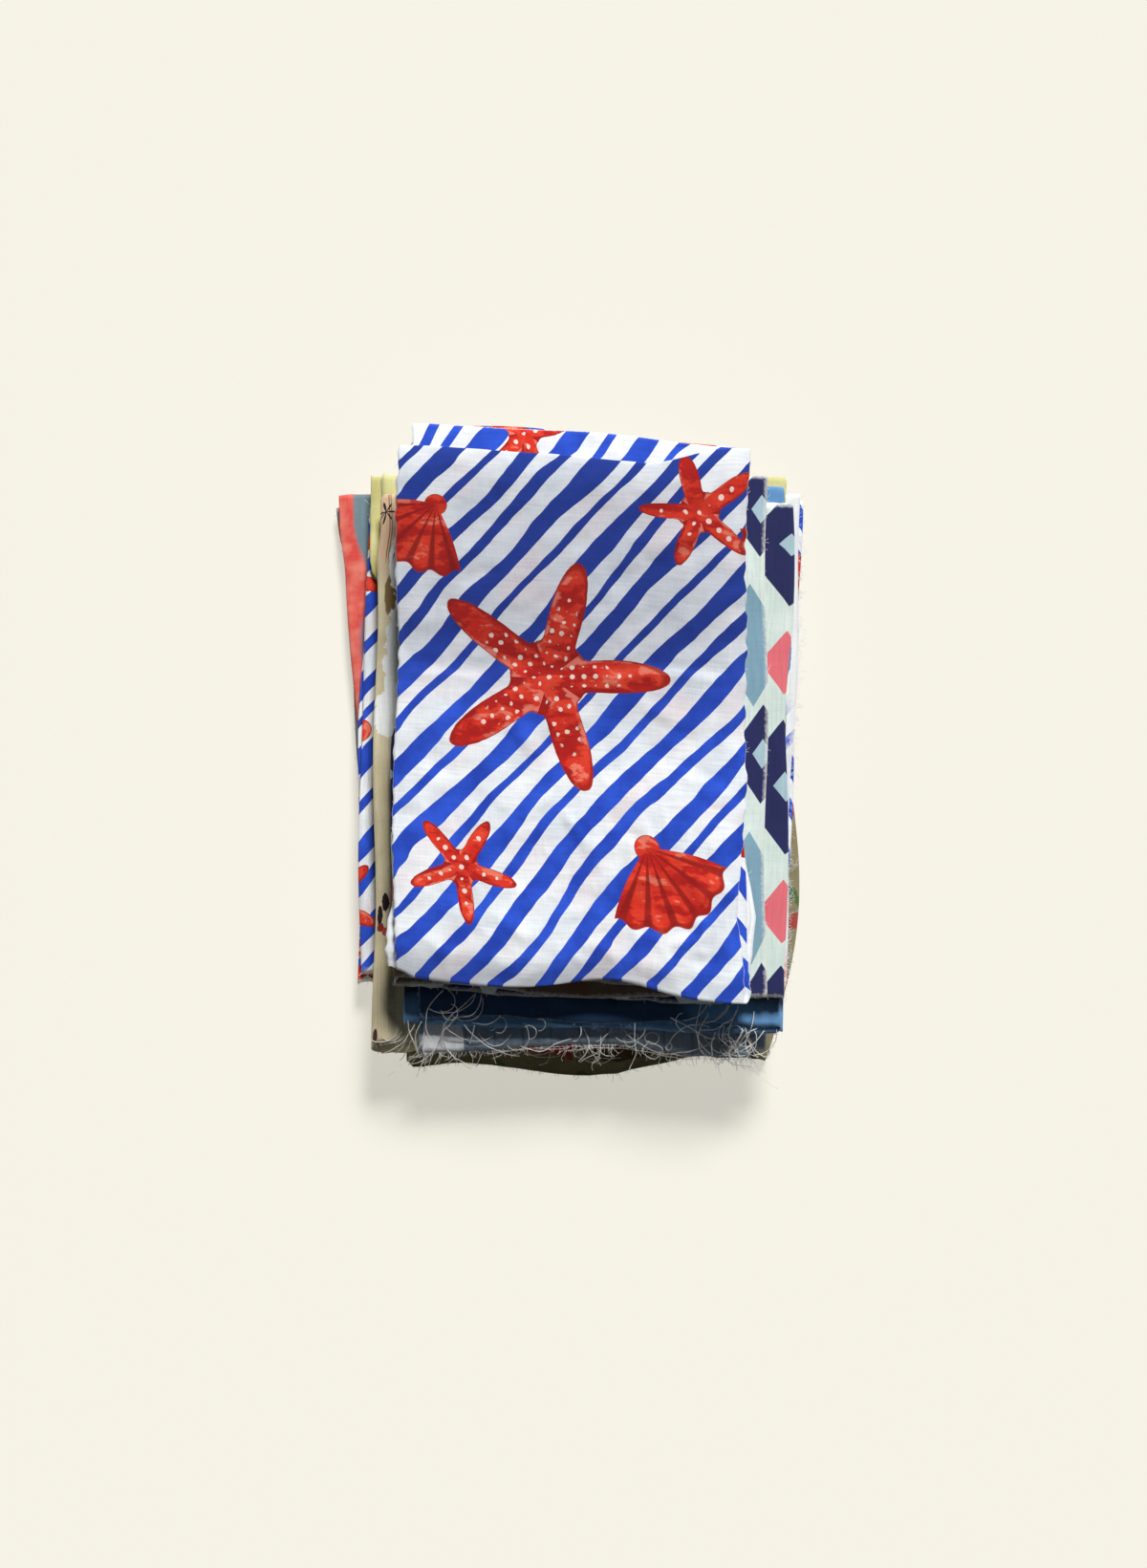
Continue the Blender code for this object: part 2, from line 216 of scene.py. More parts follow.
# Old creases in the top cloth, in millimetres: a soft trough if height is below 0,
# and a soft ridge if it is above
Crease = namedtuple("Crease", "start end width height")
CREASES = (
    Crease((-76, 29.5), (76, 28), 2.5, -0.6),
    Crease((-76, 25), (-30, 24.5), 1.8, 0.25),
    Crease((-8, 24.5), (76, 23.5), 2.0, 0.35),
    Crease((-52, 66), (-34, 80), 2.2, 0.45),
    Crease((-46, 62), (-28, 68), 2.4, -0.40),
    Crease((-60, 96), (-44, 112), 3.5, -0.45),
    Crease((-30, 98), (-22, 116), 3.0, 0.40),
    Crease((-12, 94), (6, 112), 4.0, -0.45),
    Crease((22, 80), (46, 100), 4.5, -0.65),
    Crease((30, 70), (56, 88), 4.0, 0.55),
    Crease((14, 60), (34, 72), 3.5, -0.40),
    Crease((50, 44), (66, 62), 3.5, 0.40),
    Crease((-66, 44), (-48, 52), 3.5, 0.35),
    Crease((-66, -2), (-40, -16), 3.5, -0.35),
    Crease((-26, 8), (-8, -8), 3.0, 0.40),
    Crease((-16, 2), (4, -14), 3.0, -0.35),
    Crease((24, 12), (52, 4), 3.5, 0.40),
    Crease((38, -8), (64, -22), 3.5, -0.40),
    Crease((-4, -30), (16, -46), 2.6, 0.45),
    Crease((10, -26), (26, -44), 2.8, -0.45),
    Crease((18, -60), (38, -50), 2.2, 0.45),
    Crease((26, -70), (40, -58), 2.2, -0.45),
    Crease((42, -52), (56, -68), 2.4, 0.50),
    Crease((50, -46), (66, -60), 2.6, -0.45),
    Crease((34, -84), (58, -76), 2.6, 0.50),
    Crease((46, -92), (64, -84), 2.8, -0.50),
    Crease((0, -78), (20, -90), 3.0, 0.40),
    Crease((-34, -66), (-14, -82), 3.0, 0.40),
    Crease((-50, -52), (-34, -70), 3.0, -0.40),
    Crease((-62, -74), (-44, -88), 3.0, 0.35),
)
CREASE_GAIN = 1.7
CREASE_TAPER = 0.3
CREASE_STRAY = 1.2 * MM
CREASE_STRAY_LENGTH = 24 * MM
# No trough is deeper than this, and the top layer lies this much higher, so that the
# layer below it doesn't show through
DEEPEST_TROUGH = 0.6 * MM
TOP_LOFT = 0.3 * MM
CRUMPLE = 0.14 * MM
CRUMPLE_LENGTH = 11 * MM
# Sharper crumples, most of all in the front right quarter
CRINKLE = 0.42 * MM
CRINKLE_LENGTH = 15 * MM
CRINKLE_PLACE = (32 * MM, -62 * MM)
CRINKLE_HALF = (52 * MM, 48 * MM)
CRINKLE_ELSEWHERE = 0.35


def soft_waves(x, y, length, seed, count=9):
    """A smooth uneven field, mostly from -1 to 1, with humps about a length apart."""
    draw = np.random.default_rng(seed)
    total = 0
    for _ in range(count):
        way, phase = draw.uniform(0, TURN, 2)
        own = length * draw.uniform(0.7, 1.6)
        total = total + np.sin(TURN * (x * math.cos(way) + y * math.sin(way)) / own + phase)
    return total / math.sqrt(count)


def layer_waves(x, y, layer, spread, length, seed):
    """Uneven fields of the layers' own, which change evenly from layer to layer in a fold."""
    low = np.floor(layer)
    share = layer - low
    above, below = [
        soft_waves(x + spread * level, y, length, seed) for level in (low, low + 1)
    ]
    return above * (1 - share) + below * share


def smooth(value, low, high):
    """0 below low and 1 above high, with an even change between them."""
    share = np.clip((value - low) / (high - low), 0, 1)
    return share * share * (3 - 2 * share)


def grown(value, start, end):
    """0 at the start and before it, and 1 at the end and beyond, in either direction."""
    return smooth(value, start, end) if end > start else smooth(-value, -start, -end)


def top_heights():
    """Height of the middle of every cloth's top sheet, from the top cloth down."""
    heights = []
    floor = SOLID_SHEET / 2
    for cloth in reversed(CLOTHS):
        heights.insert(0, floor + (cloth.layers - 1) * PITCH)
        floor += cloth.layers * PITCH + CLOTH_AIR
    return heights


TOP_HEIGHTS = top_heights()
PILE_HEIGHT = TOP_HEIGHTS[0] - SOLID_SHEET / 2


def sag_at(x, y, order):
    """How far a cloth sags at a place where those under it end."""
    total = np.zeros_like(x)
    for over in OVERHANGS:
        if order >= NAMES.index(over.cloths_above):
            continue
        start, end = np.array(over.start) * MM, np.array(over.end) * MM
        along = (end - start) / np.linalg.norm(end - start)
        beyond = along[0] * (y - start[1]) - along[1] * (x - start[0])
        total += over.depth * MM * np.clip(beyond / (over.reach * MM), 0, 1.5) ** 2
    return total


def settled(x, y, z, order):
    """The height z once the pile bows down at its edges and sags beyond its support."""
    share = (z - SOLID_SHEET / 2) / PILE_HEIGHT
    drop = np.minimum((x / BOW_HALF_X) ** 4 + (y / BOW_HALF_Y) ** 4, 2)
    uneven = UNEVEN * soft_waves(x, y, UNEVEN_LENGTH, 5)
    return z + share * (uneven - BOW_DROP * drop) - sag_at(x, y, order)


def creased(x, y):
    """Height of the old creases and the fine crumples in the top cloth."""
    total = CRUMPLE * soft_waves(x, y, CRUMPLE_LENGTH, 11, 12)
    away = ((x - CRINKLE_PLACE[0]) / CRINKLE_HALF[0]) ** 2
    away = away + ((y - CRINKLE_PLACE[1]) / CRINKLE_HALF[1]) ** 2
    strength = CRINKLE_ELSEWHERE + (1 - CRINKLE_ELSEWHERE) * np.exp(-away)
    lines = 1 - np.minimum(1, 1.6 * np.abs(soft_waves(x, y, CRINKLE_LENGTH, 17, 7)))
    total += CRINKLE * strength * smooth(lines, 0, 1)
    for crease in CREASES:
        start, end = np.array(crease.start) * MM, np.array(crease.end) * MM
        length = np.linalg.norm(end - start)
        along = (end - start) / length
        share = ((x - start[0]) * along[0] + (y - start[1]) * along[1]) / length
        away = (x - start[0]) * along[1] - (y - start[1]) * along[0]
        away = away + CREASE_STRAY * soft_waves(x, y, CREASE_STRAY_LENGTH, 3)
        ends = smooth(share, 0, CREASE_TAPER) * smooth(1 - share, 0, CREASE_TAPER)
        height = CREASE_GAIN * crease.height * MM * ends
        total += height * np.exp(-((away / (crease.width * MM)) ** 2))
    return np.where(total < 0, DEEPEST_TROUGH * np.tanh(total / DEEPEST_TROUGH), total)


def swelling(y):
    """Share of the top cloth's swell: none in its crease and little at its ends."""
    crease = np.exp(-(((y - CREASE_Y) / CREASE_WIDTH) ** 2))
    ends = np.minimum(1, (y / SWELL_HALF_Y) ** 4)
    return (1 - crease) * (1 - ends)


def ridge_strays(from_left):
    """How far the ridge lies in front of its straight line."""
    total = RIDGE_START
    for step in RIDGE_STEPS:
        total = total + step.change * smooth(from_left, step.start * MM, step.end * MM)
    return total * MM


def edge_steps(fine, growth):
    """Distances from an edge, fine at the edge and wider apart further in."""
    places = [0.0]
    step = fine * MM
    while places[-1] + step < EDGE_BAND:
        places.append(places[-1] + step)
        step *= growth
    return places


def spaced(start, end, fine, middle, growth):
    """Places between two ends, each a base and a share of the width, fine near both ends."""
    (start_base, start_share), (end_base, end_share) = start, end
    side = 1 if end_share > start_share else -1
    steps = edge_steps(fine, growth)
    first = [(start_base + side * step, start_share) for step in steps]
    last = [(end_base - side * step, end_share) for step in reversed(steps)]
    between = []
    for step in range(1, middle):
        share = step / middle
        between.append(tuple(a + (b - a) * share for a, b in zip(first[-1], last[0])))
    return first + between + last


def roll_rise(share):
    """Height of a soft roll from its fold to its inner end, as a share of its crest's."""
    if share > ROLL_CREST:
        return 0.5 + 0.5 * math.cos(math.pi * (share - ROLL_CREST) / (1 - ROLL_CREST))
    return ROLL_END + (1 - ROLL_END) * math.sin(math.pi / 2 * share / ROLL_CREST)


class Sheet:
    """The middle surface of one folded cloth, as rows of points from raw edge to raw edge."""

    def __init__(self, cloth, fine_top=0):
        self.cloth = cloth
        self.order = NAMES.index(cloth.name)
        self.top_height = TOP_HEIGHTS[self.order]
        corners = (cloth.back_left, cloth.back_right, cloth.front_right, cloth.front_left)
        back_left, back_right, front_right, front_left = [np.array(c) * MM for c in corners]
        if cloth.folds_at == "ends":
            self.open_line = (back_left, back_right)
            self.far_line = (front_left, front_right)
        elif cloth.open_edge == "right":
            self.open_line = (back_right, front_right)
            self.far_line = (back_left, front_left)
        else:
            self.open_line = (back_left, front_left)
            self.far_line = (back_right, front_right)
        self.length = float(np.linalg.norm(self.open_line[1] - self.open_line[0]))
        middles = np.mean(self.far_line, axis=0) - np.mean(self.open_line, axis=0)
        self.width = float(np.linalg.norm(middles))
        self.lay_out(fine_top)

    def fold_inset(self, fold):
        return FOLD_STAGGER * (0.5 + 0.5 * math.sin(FOLD_TURN * fold + self.order))

    def rolled(self, layer):
        roll = self.cloth.roll
        return (roll[1] * MM, roll[2] * MM) if roll and roll[0] == layer else (0, 0)

    def slip(self, layer):
        """How far a layer slides along the folds."""
        first, rest = self.cloth.slips
        later = np.minimum(layer, 1)
        stagger = RAW_STAGGER * np.sin(RAW_TURN * layer + self.order) * later
        return (first + (rest - first) * later) * MM + stagger

    def pleat_rows(self):
        """The strip behind the ridge and the pleat hidden under it, up to the ridge."""
        floor, radius = self.top_height, PLEAT_RISE / 4
        deep = PLEAT_BACK + PLEAT_DEEP
        rows = []
        for base in np.arange(self.cloth.step_back * MM, deep, self.cloth.fine * MM):
            shown = 1 - smooth(base, PLEAT_BACK, deep)
            rows.append((base, 0.0, floor, 0, shown, base / deep))
        for middle, height, side in ((deep, radius, 1), (PLEAT_BACK, 3 * radius, -1)):
            for step in range(PLEAT_STEPS + 1):
                angle = math.pi * (step / PLEAT_STEPS - 0.5)
                base = middle + side * radius * FOLD_FULLNESS * math.cos(angle)
                rise = height + radius * math.sin(angle)
                rows.append((base, 0.0, floor + rise, 0, 0, 1))
            if side == 1:
                for share in (0.25, 0.5, 0.75):
                    rows.append((middle - PLEAT_DEEP * share, 0.0, floor + 2 * radius, 0, 0, 1))
        return rows

    def stations(self, fine_top):
        """Base, share of the width, height, layer, strip and pleat along the section."""
        cloth = self.cloth
        start = (cloth.step_back * MM, 0.0)
        rows = []
        if self.order == 0:
            rows = self.pleat_rows()
            start = (PLEAT_BACK, 0.0)
        for layer in range(cloth.layers):
            outward = layer % 2 == 0
            side = 1 if outward else -1
            last = layer == cloth.layers - 1
            inset = PITCH / 2 + (0 if last else self.fold_inset(layer))
            end = (-inset, 1.0) if outward else (inset, 0.0)
            middle, growth = cloth.middle, EDGE_GROWTH
            if fine_top and layer == 0:
                middle, growth = fine_top, 1
            height = self.top_height - layer * PITCH
            roll_height, roll_reach = self.rolled(layer)
            skip = 1 if rows else 0
            for base, share in spaced(start, end, cloth.fine, middle, growth)[skip:]:
                back = abs(base - end[0]) if share == end[1] else 1
                pleat = pleat_rise = 0
                if self.order == 0 and layer == 0:
                    reach = base + share * self.width
                    pleat = 1 - smooth(reach, PLEAT_BACK, PLEAT_CALM)
                    pleat_rise = 1 - smooth(reach, PLEAT_BACK + PLEAT_DEEP, PLEAT_CALM)
                rise = roll_rise(back / roll_reach) if back < roll_reach else 0
                level = height + roll_height * rise + PLEAT_RISE * pleat_rise
                rows.append((base, share, level, layer, 0, pleat))
            if not last:
                upper = height + roll_height * ROLL_END
                radius = (upper - (height - PITCH)) / 2
                for step in range(1, FOLD_STEPS + 1):
                    angle = math.pi * step / FOLD_STEPS
                    out = side * radius * FOLD_FULLNESS * math.sin(angle)
                    drop = radius * (1 - math.cos(angle))
                    part = layer + step / FOLD_STEPS
                    rows.append((end[0] + out, end[1], upper - drop, part, 0, 0))
            start = end
        return np.array(rows)

    def lay_out(self, fine_top):
        """Works out the grid of points and the flat cloth's own coordinates."""
        cloth = self.cloth
        stations = self.stations(fine_top)
        base, grow, height, layer, strip, pleat = stations.T
        edge = edge_steps(cloth.fine, 1 if fine_top else EDGE_GROWTH)
        middle = np.linspace(edge[-1], self.length - edge[-1], self.across_middle(fine_top))
        down = np.concatenate([edge[:-1], middle, self.length - np.array(edge[:-1])[::-1]])
        share = (down / self.length)[:, None]
        near = self.open_line[0] + (self.open_line[1] - self.open_line[0]) * share
        far = self.far_line[0] + (self.far_line[1] - self.far_line[0]) * share
        width = np.linalg.norm(far - near, axis=1)[:, None]
        ways = (far - near) / width
        along = base + grow * width
        if self.order == 0:
            along = along + pleat * ridge_strays(share * self.length)
        slide = (self.open_line[1] - self.open_line[0]) / self.length
        slide = slide * (-1 if cloth.folds_at == "sides" else 1)
        x = near[:, :1] + ways[:, :1] * along + slide[0] * self.slip(layer)
        y = near[:, 1:] + ways[:, 1:] * along + slide[1] * self.slip(layer)
        x, y = self.wobbled(x, y, layer)
        x, y = self.ragged(x, y, layer, share, ways)
        if cloth.bulge:
            belly = np.sin(math.pi * share**2) * (np.maximum(x, 0) / BOW_HALF_X) ** 2
            x = x + cloth.bulge * MM * belly
        if cloth.wave:
            phase = TURN * (x - WAVE_PEAK_X) / WAVE_LENGTH
            y = y - share**3 * cloth.wave * MM * (0.5 + 0.5 * np.cos(phase))
        z = np.broadcast_to(height, x.shape).copy()
        if self.order == 0:
            upper = 1 - (layer / (cloth.layers - 1)) ** 2
            side_gap = np.minimum(share, 1 - share) * self.length
            droop = FRONT_DROOP * (1 - smooth(width - along, 0, FRONT_DROOP_REACH))
            droop = droop + SIDE_DROOP * (1 - smooth(side_gap, 0, SIDE_DROOP_REACH))
            on_top = 1 - smooth(layer, 0, 1)
            z += SWELL * swelling(y) * upper - droop * (1 - layer / (cloth.layers - 1))
            z += (TOP_LOFT + creased(x, y)) * on_top
            x, y = self.shaped(x, y, along, share, layer, strip)
        x, y = self.shifted(x, y, layer)
        flat_steps = np.hypot(np.diff(base + grow * width.mean()), np.diff(height))
        flat_along = np.concatenate([[0], np.cumsum(flat_steps)])
        ends = np.minimum(flat_along, flat_along[-1] - flat_along)
        sides = np.minimum(share, 1 - share) * self.length
        self.edge_distance = np.minimum(*np.broadcast_arrays(ends, sides))
        z = settled(x, y, z, self.order) + self.fluttering(x, y, layer)
        self.points = np.stack([x + CENTRING[0], y + CENTRING[1], z], axis=2)
        self.flat = np.stack(np.broadcast_arrays(flat_along, share * self.length), axis=2)
        self.layer = layer
        self.flat_size = (float(flat_along[-1]), self.length)

    def shaped(self, x, y, along, share, layer, strip):
        """The top cloth's outline: a corner tucked in, another rounded, and uneven edges."""
        from_left, from_right = share * self.length, (1 - share) * self.length
        left, right = 1 - smooth(from_left, 0, SIDE_REACH), 1 - smooth(from_right, 0, SIDE_REACH)
        under = smooth(layer, 0, 1)
        in_tongue = smooth(layer, TONGUE_LAYERS[0] - 0.5, TONGUE_LAYERS[0])
        in_tongue = in_tongue * (1 - smooth(layer, TONGUE_LAYERS[1], TONGUE_LAYERS[1] + 0.5))
        rows = np.array(EDGE_MOVES) * MM
        top_right, under_right, under_left = [
            np.interp(y, rows[:, 0], rows[:, column]) for column in (1, 2, 3)
        ]
        under_left = np.where(under_left > 0, under_left * in_tongue, under_left)
        under_right = np.where(under_right > 0, under_right * in_tongue, under_right)
        behind = np.where(layer > 0, smooth(PLEAT_BACK - along, 0, TUCK_FADE), strip)
        x = x + TUCK * behind * (1 - smooth(from_left, 0, TUCK_WIDTH))
        x = x + right * (top_right * (1 - under) + under_right * under) - left * under * under_left
        belly = np.exp(-(((x - BACK_BULGE_X) / BACK_BULGE_WIDTH) ** 2))
        y = y + BACK_BULGE * belly * (1 - smooth(along, 0, PLEAT_BACK))
        folded_in = (1 - smooth(self.width - along, 0, FRONT_FOLDS_REACH)) * smooth(layer, 0.3, 1.2)
        y = y + FRONT_FOLDS_IN * folded_in
        dip = np.exp(-(((x - FRONT_DIP_X) / FRONT_DIP_WIDTH) ** 2))
        y = y + FRONT_DIP * dip * np.clip(y / FRONT_DIP_Y, 0, 1) ** 8
        rounded = (1 - smooth(from_left, 0, CORNER_REACH)) * smooth(-y, *CORNER_FROM_FRONT)
        return x, y + CORNER_ROUND * rounded

    def shifted(self, x, y, layer):
        """Moves the cloth's own places in the table of shifts."""
        for row in SHIFTS:
            if row.cloth == self.cloth.name:
                weight = grown(x, row.x_from * MM, row.x_to * MM)
                weight = weight * grown(y, row.y_from * MM, row.y_to * MM)
                weight = weight * smooth(layer, row.first - 1, row.first)
                weight = weight * (1 - smooth(layer, row.last, row.last + 1))
                x = x + row.move_x * MM * weight
                y = y + row.move_y * MM * weight
        return x, y

    def across_middle(self, fine_top):
        size = 1 if fine_top else 2
        return round((self.length - 2 * EDGE_BAND) / (size * self.cloth.fine * MM))

    def wobbled(self, x, y, layer):
        """The small slide in the plane, which changes from layer to layer."""
        dx = WOBBLE * np.sin(TURN * y / WOBBLE_LENGTH_Y + WOBBLE_TURN_X * layer + self.order)
        dy = WOBBLE * np.sin(TURN * x / WOBBLE_LENGTH_X + WOBBLE_TURN_Y * layer + 2 * self.order)
        return x + dx, y + dy

    def ragged(self, x, y, layer, share, ways):
        """Raw edges that were cut by hand, so they are a little uneven."""
        near_edge = 1 - smooth(np.minimum(share, 1 - share) * self.length, 0, RAGGED_REACH)
        side = np.where(share < 0.5, 1, -1)
        cut = RAGGED * layer_waves(x, y, layer, 9, RAGGED_LENGTH, 40 + self.order)
        across = np.stack([ways[:, 1], -ways[:, 0]], axis=1)
        return (
            x + across[:, :1] * cut * near_edge * side,
            y + across[:, 1:] * cut * near_edge * side,
        )

    def fluttering(self, x, y, layer):
        """How each layer lies on its own, most of all near its edges, where the top one lifts."""
        levels_below = (self.top_height - SOLID_SHEET / 2) / PITCH - layer
        free = np.clip(levels_below, 0, 1)
        height = FLUTTER if self.order else TOP_FLUTTER
        own = height * layer_waves(x, y, layer, 1, FLUTTER_LENGTH, 20 + self.order)
        near_edge = 1 - smooth(self.edge_distance, 0, EDGE_FLUTTER_REACH)
        curl = EDGE_FLUTTER * layer_waves(x, y, layer, 3, EDGE_FLUTTER_LENGTH, 60 + self.order)
        lifted = self.cloth.lift * np.abs(curl) + 0.3 * curl
        curl = np.where(layer < 1, lifted, curl)
        return free * (own + curl * near_edge)


def new_object(name, data):
    made = bpy.data.objects.new(name, data)
    bpy.context.scene.collection.objects.link(made)
    return made


def select_only(piece):
    """Makes a piece the active one, with no other selected."""
    bpy.ops.object.select_all(action="DESELECT")
    bpy.context.view_layer.objects.active = piece
    piece.select_set(True)


def cloth_piece(sheet, name, cloth_material, raw_material):
    """A thin sheet bent to the points of a folded cloth."""
    down, along = sheet.points.shape[:2]
    grid = bmesh.new()
    bmesh.ops.create_grid(grid, x_segments=along - 1, y_segments=down - 1, size=0.5)
    mesh = bpy.data.meshes.new(name)
    grid.to_mesh(mesh)
    grid.free()
    spots = np.empty(len(mesh.vertices) * 3)
    mesh.vertices.foreach_get("co", spots)
    spots = spots.reshape(-1, 3)
    column = np.rint((spots[:, 0] + 0.5) * (along - 1)).astype(int)
    row = np.rint((spots[:, 1] + 0.5) * (down - 1)).astype(int)
    mesh.vertices.foreach_set("co", sheet.points[row, column].ravel())
    corners = np.empty(len(mesh.loops), int)
    mesh.loops.foreach_get("vertex_index", corners)
    flat = sheet.flat[row, column][corners]
    mesh.uv_layers.new(name="flat").data.foreach_set("uv", flat.ravel())
    to_edge = mesh.attributes.new("edge_mm", "FLOAT", "POINT")
    to_edge.data.foreach_set("value", sheet.edge_distance[row, column] / MM)
    mesh.materials.append(cloth_material)
    mesh.materials.append(raw_material)
    piece = new_object(name, mesh)
    thicken = piece.modifiers.new("thickness", "SOLIDIFY")
    thicken.thickness = CLOTH_THICK
    thicken.offset = 0
    thicken.material_offset_rim = 1
    select_only(piece)
    bpy.ops.object.modifier_apply(modifier=thicken.name)
    piece.select_set(False)
    piece.data.shade_smooth()
    return piece


def threads(name, paths, thickness, material):
    """Loose threads: every path is a row of points, and all of them become one mesh."""
    curve = bpy.data.curves.new(name, "CURVE")
    curve.dimensions = "3D"
    curve.bevel_depth = thickness / 2
    curve.bevel_resolution = 0
    curve.use_fill_caps = True
    for path in paths:
        spline = curve.splines.new("POLY")
        spline.points.add(len(path) - 1)
        corners = np.column_stack([path, np.ones(len(path))])
        spline.points.foreach_set("co", corners.ravel())
    piece = new_object(name, curve)
    select_only(piece)
    bpy.ops.object.convert(target="MESH")
    piece.select_set(False)
    piece.data.materials.append(material)
    piece.data.shade_smooth()
    return piece


def srgb(code):
    """A colour written as in a paint chart, as Blender's linear values."""
    values = [int(code[k:k + 2], 16) / 255 for k in (1, 3, 5)]
    linear = [v / 12.92 if v <= 0.04045 else ((v + 0.055) / 1.055) ** 2.4 for v in values]
    return (*linear, 1)


class Value:
    """A number, place or colour in a node tree. Sums and products of them are Math nodes."""

    def __init__(self, tree, socket):
        self.tree = tree
        self.socket = socket

    def __add__(self, other):
        return calc("ADD", self, other)

    def __sub__(self, other):
        return calc("SUBTRACT", self, other)

    def __rsub__(self, other):
        return calc("SUBTRACT", other, self)

    def __mul__(self, other):
        return calc("MULTIPLY", self, other)

    def __truediv__(self, other):
        return calc("DIVIDE", self, other)

    def __rtruediv__(self, other):
        return calc("DIVIDE", other, self)

    def __pow__(self, other):
        return calc("POWER", self, other)


def plug(socket, value):
    """Links a Value to a socket, or sets the socket to a number or to a colour's code."""
    if isinstance(value, Value):
        value.tree.links.new(value.socket, socket)
    else:
        socket.default_value = srgb(value) if isinstance(value, str) else value


def add(tree, kind, inputs=None, **settings):
    """A node with its settings and inputs."""
    node = tree.nodes.new(kind)
    for name, value in settings.items():
        setattr(node, name, value)
    for key, value in (inputs or {}).items():
        plug(node.inputs[key], value)
    return node


def output(node, key=0):
    return Value(node.id_data, node.outputs[key])


def tree_of(values):
    return next(value.tree for value in values if isinstance(value, Value))


def calc(operation, *values):
    """A Math node on numbers and Values."""
    inputs = dict(enumerate(values))
    return output(add(tree_of(values), "ShaderNodeMath", inputs, operation=operation))


def distance(x, y):
    return calc("SQRT", x**2 + y**2)


def split(place):
    """The two coordinates of a place on the flat cloth."""
    node = add(place.tree, "ShaderNodeSeparateXYZ", {0: place})
    return output(node, 0), output(node, 1)


def mixed(factor, first, second, blend="MIX"):
    """Two colours mixed by a factor."""
    inputs = {0: factor, 6: first, 7: second}
    tree = tree_of(inputs.values())
    return output(add(tree, "ShaderNodeMix", inputs, data_type="RGBA", blend_type=blend), 2)


def stepped(value, low, high):
    """0 below low and 1 above high. With low above high it falls instead."""
    inputs = {"Value": value, "From Min": low, "From Max": high}
    return output(add(value.tree, "ShaderNodeMapRange", inputs))


def noise(place, size, detail=2.0, roughness=0.5):
    """Soft noise whose humps are about a size apart, from 0 to 1."""
    inputs = {"Vector": place, "Scale": 1 / size, "Detail": detail, "Roughness": roughness}
    return output(add(place.tree, "ShaderNodeTexNoise", inputs))


def scaled(place, across, along):
    inputs = {"Vector": place, "Scale": (across, along, 1)}
    return output(add(place.tree, "ShaderNodeMapping", inputs))


def made_group(name, build, **numbers):
    """A node group on a place. build gives its outputs by name, from its inputs by name.

    In the names of inputs, _ stands for a space.
    """
    tree = bpy.data.node_groups.new(name, "ShaderNodeTree")
    tree.interface.new_socket(name="Vector", in_out="INPUT", socket_type="NodeSocketVector")
    for key, number in numbers.items():
        socket = tree.interface.new_socket(
            name=key.replace("_", " "), in_out="INPUT", socket_type="NodeSocketFloat"
        )
        socket.default_value = number
    start = tree.nodes.new("NodeGroupInput")
    results = build({socket.name: Value(tree, socket) for socket in start.outputs})
    for key in results:
        tree.interface.new_socket(name=key, in_out="OUTPUT", socket_type="NodeSocketFloat")
    end = tree.nodes.new("NodeGroupOutput")
    for key, value in results.items():
        plug(end.inputs[key], value)
    return tree


def use(group, flat, **numbers):
    """The outputs of a group that is placed on a flat cloth. _ stands for a space."""
    inputs = {key.replace("_", " "): number for key, number in numbers.items()}
    node = add(flat.tree, "ShaderNodeGroup", {"Vector": flat, **inputs}, node_tree=group)
    return {socket.name: output(node, socket.name) for socket in node.outputs}


def around(given):
    """Coordinates from a motif's centre, repeated over the cloth."""
    spots = []
    for place, name in zip(split(given["Vector"]), ("Across", "Along")):
        half = given["Repeat " + name] * 0.5
        spots.append(calc("WRAP", place - given[name], half, half * -1))
    return spots


def plain_weave(given):
    """The height of each thread, and slubs where a thread is thicker."""
    turns = TURN / 2 / given["Pitch"]
    across, along = [calc("SINE", place * turns) for place in split(given["Vector"])]
    warp = noise(scaled(given["Vector"], 1, 0.06), 0.9 * MM, 1.0)
    weft = noise(scaled(given["Vector"], 0.06, 1), 0.7 * MM, 1.0)
    return {"Height": across * along, "Slub": warp * 0.7 + weft * 0.3}


# Where a blue stripe starts and ends, by turns, as shares of the stripes' repeat
STRIPE_EDGES = (0.0, 0.13, 0.26, 0.37, 0.45, 0.60, 0.74, 0.88, 0.96)


def diagonal_stripes(given):
    """Straight diagonal stripes of three widths, with edges as uneven as a hand print's."""
    x, y = split(given["Vector"])
    slant = calc("RADIANS", given["Slant"])
    sine, cosine = calc("SINE", slant), calc("COSINE", slant)
    place = y * sine + x * cosine
    own = output(add(place.tree, "ShaderNodeCombineXYZ", {0: place, 1: x * sine - y * cosine}))
    for size, stretch, amount in ((17 * MM, 0.3, 10 * MM), (4 * MM, 0.35, 1.3 * MM)):
        place = place + (noise(scaled(own, 1, stretch), size, 1.0) - 0.5) * amount
    ramp = add(place.tree, "ShaderNodeValToRGB", {0: calc("FRACT", place / given["Repeat"])})
    ramp.color_ramp.interpolation = "CONSTANT"
    edges = ramp.color_ramp.elements
    while len(edges) < len(STRIPE_EDGES):
        edges.new(0.5)
    for index, (edge, share) in enumerate(zip(edges, STRIPE_EDGES)):
        dark = index % 2
        edge.position = share
        edge.color = (dark, dark, dark, 1)
    return {"Stripe": output(ramp)}


# Pale dots on a starfish: half their steps along an arm and across it, their largest
# radius, how unevenly large they are, and how far from the arm's middle they end
DOT_STEPS = (2.3 * MM, 2.0 * MM)
DOT_RADIUS = 1.05 * MM
DOT_SPREAD = 8 * MM
DOT_ENDS = (5.2 * MM, 4.4 * MM)


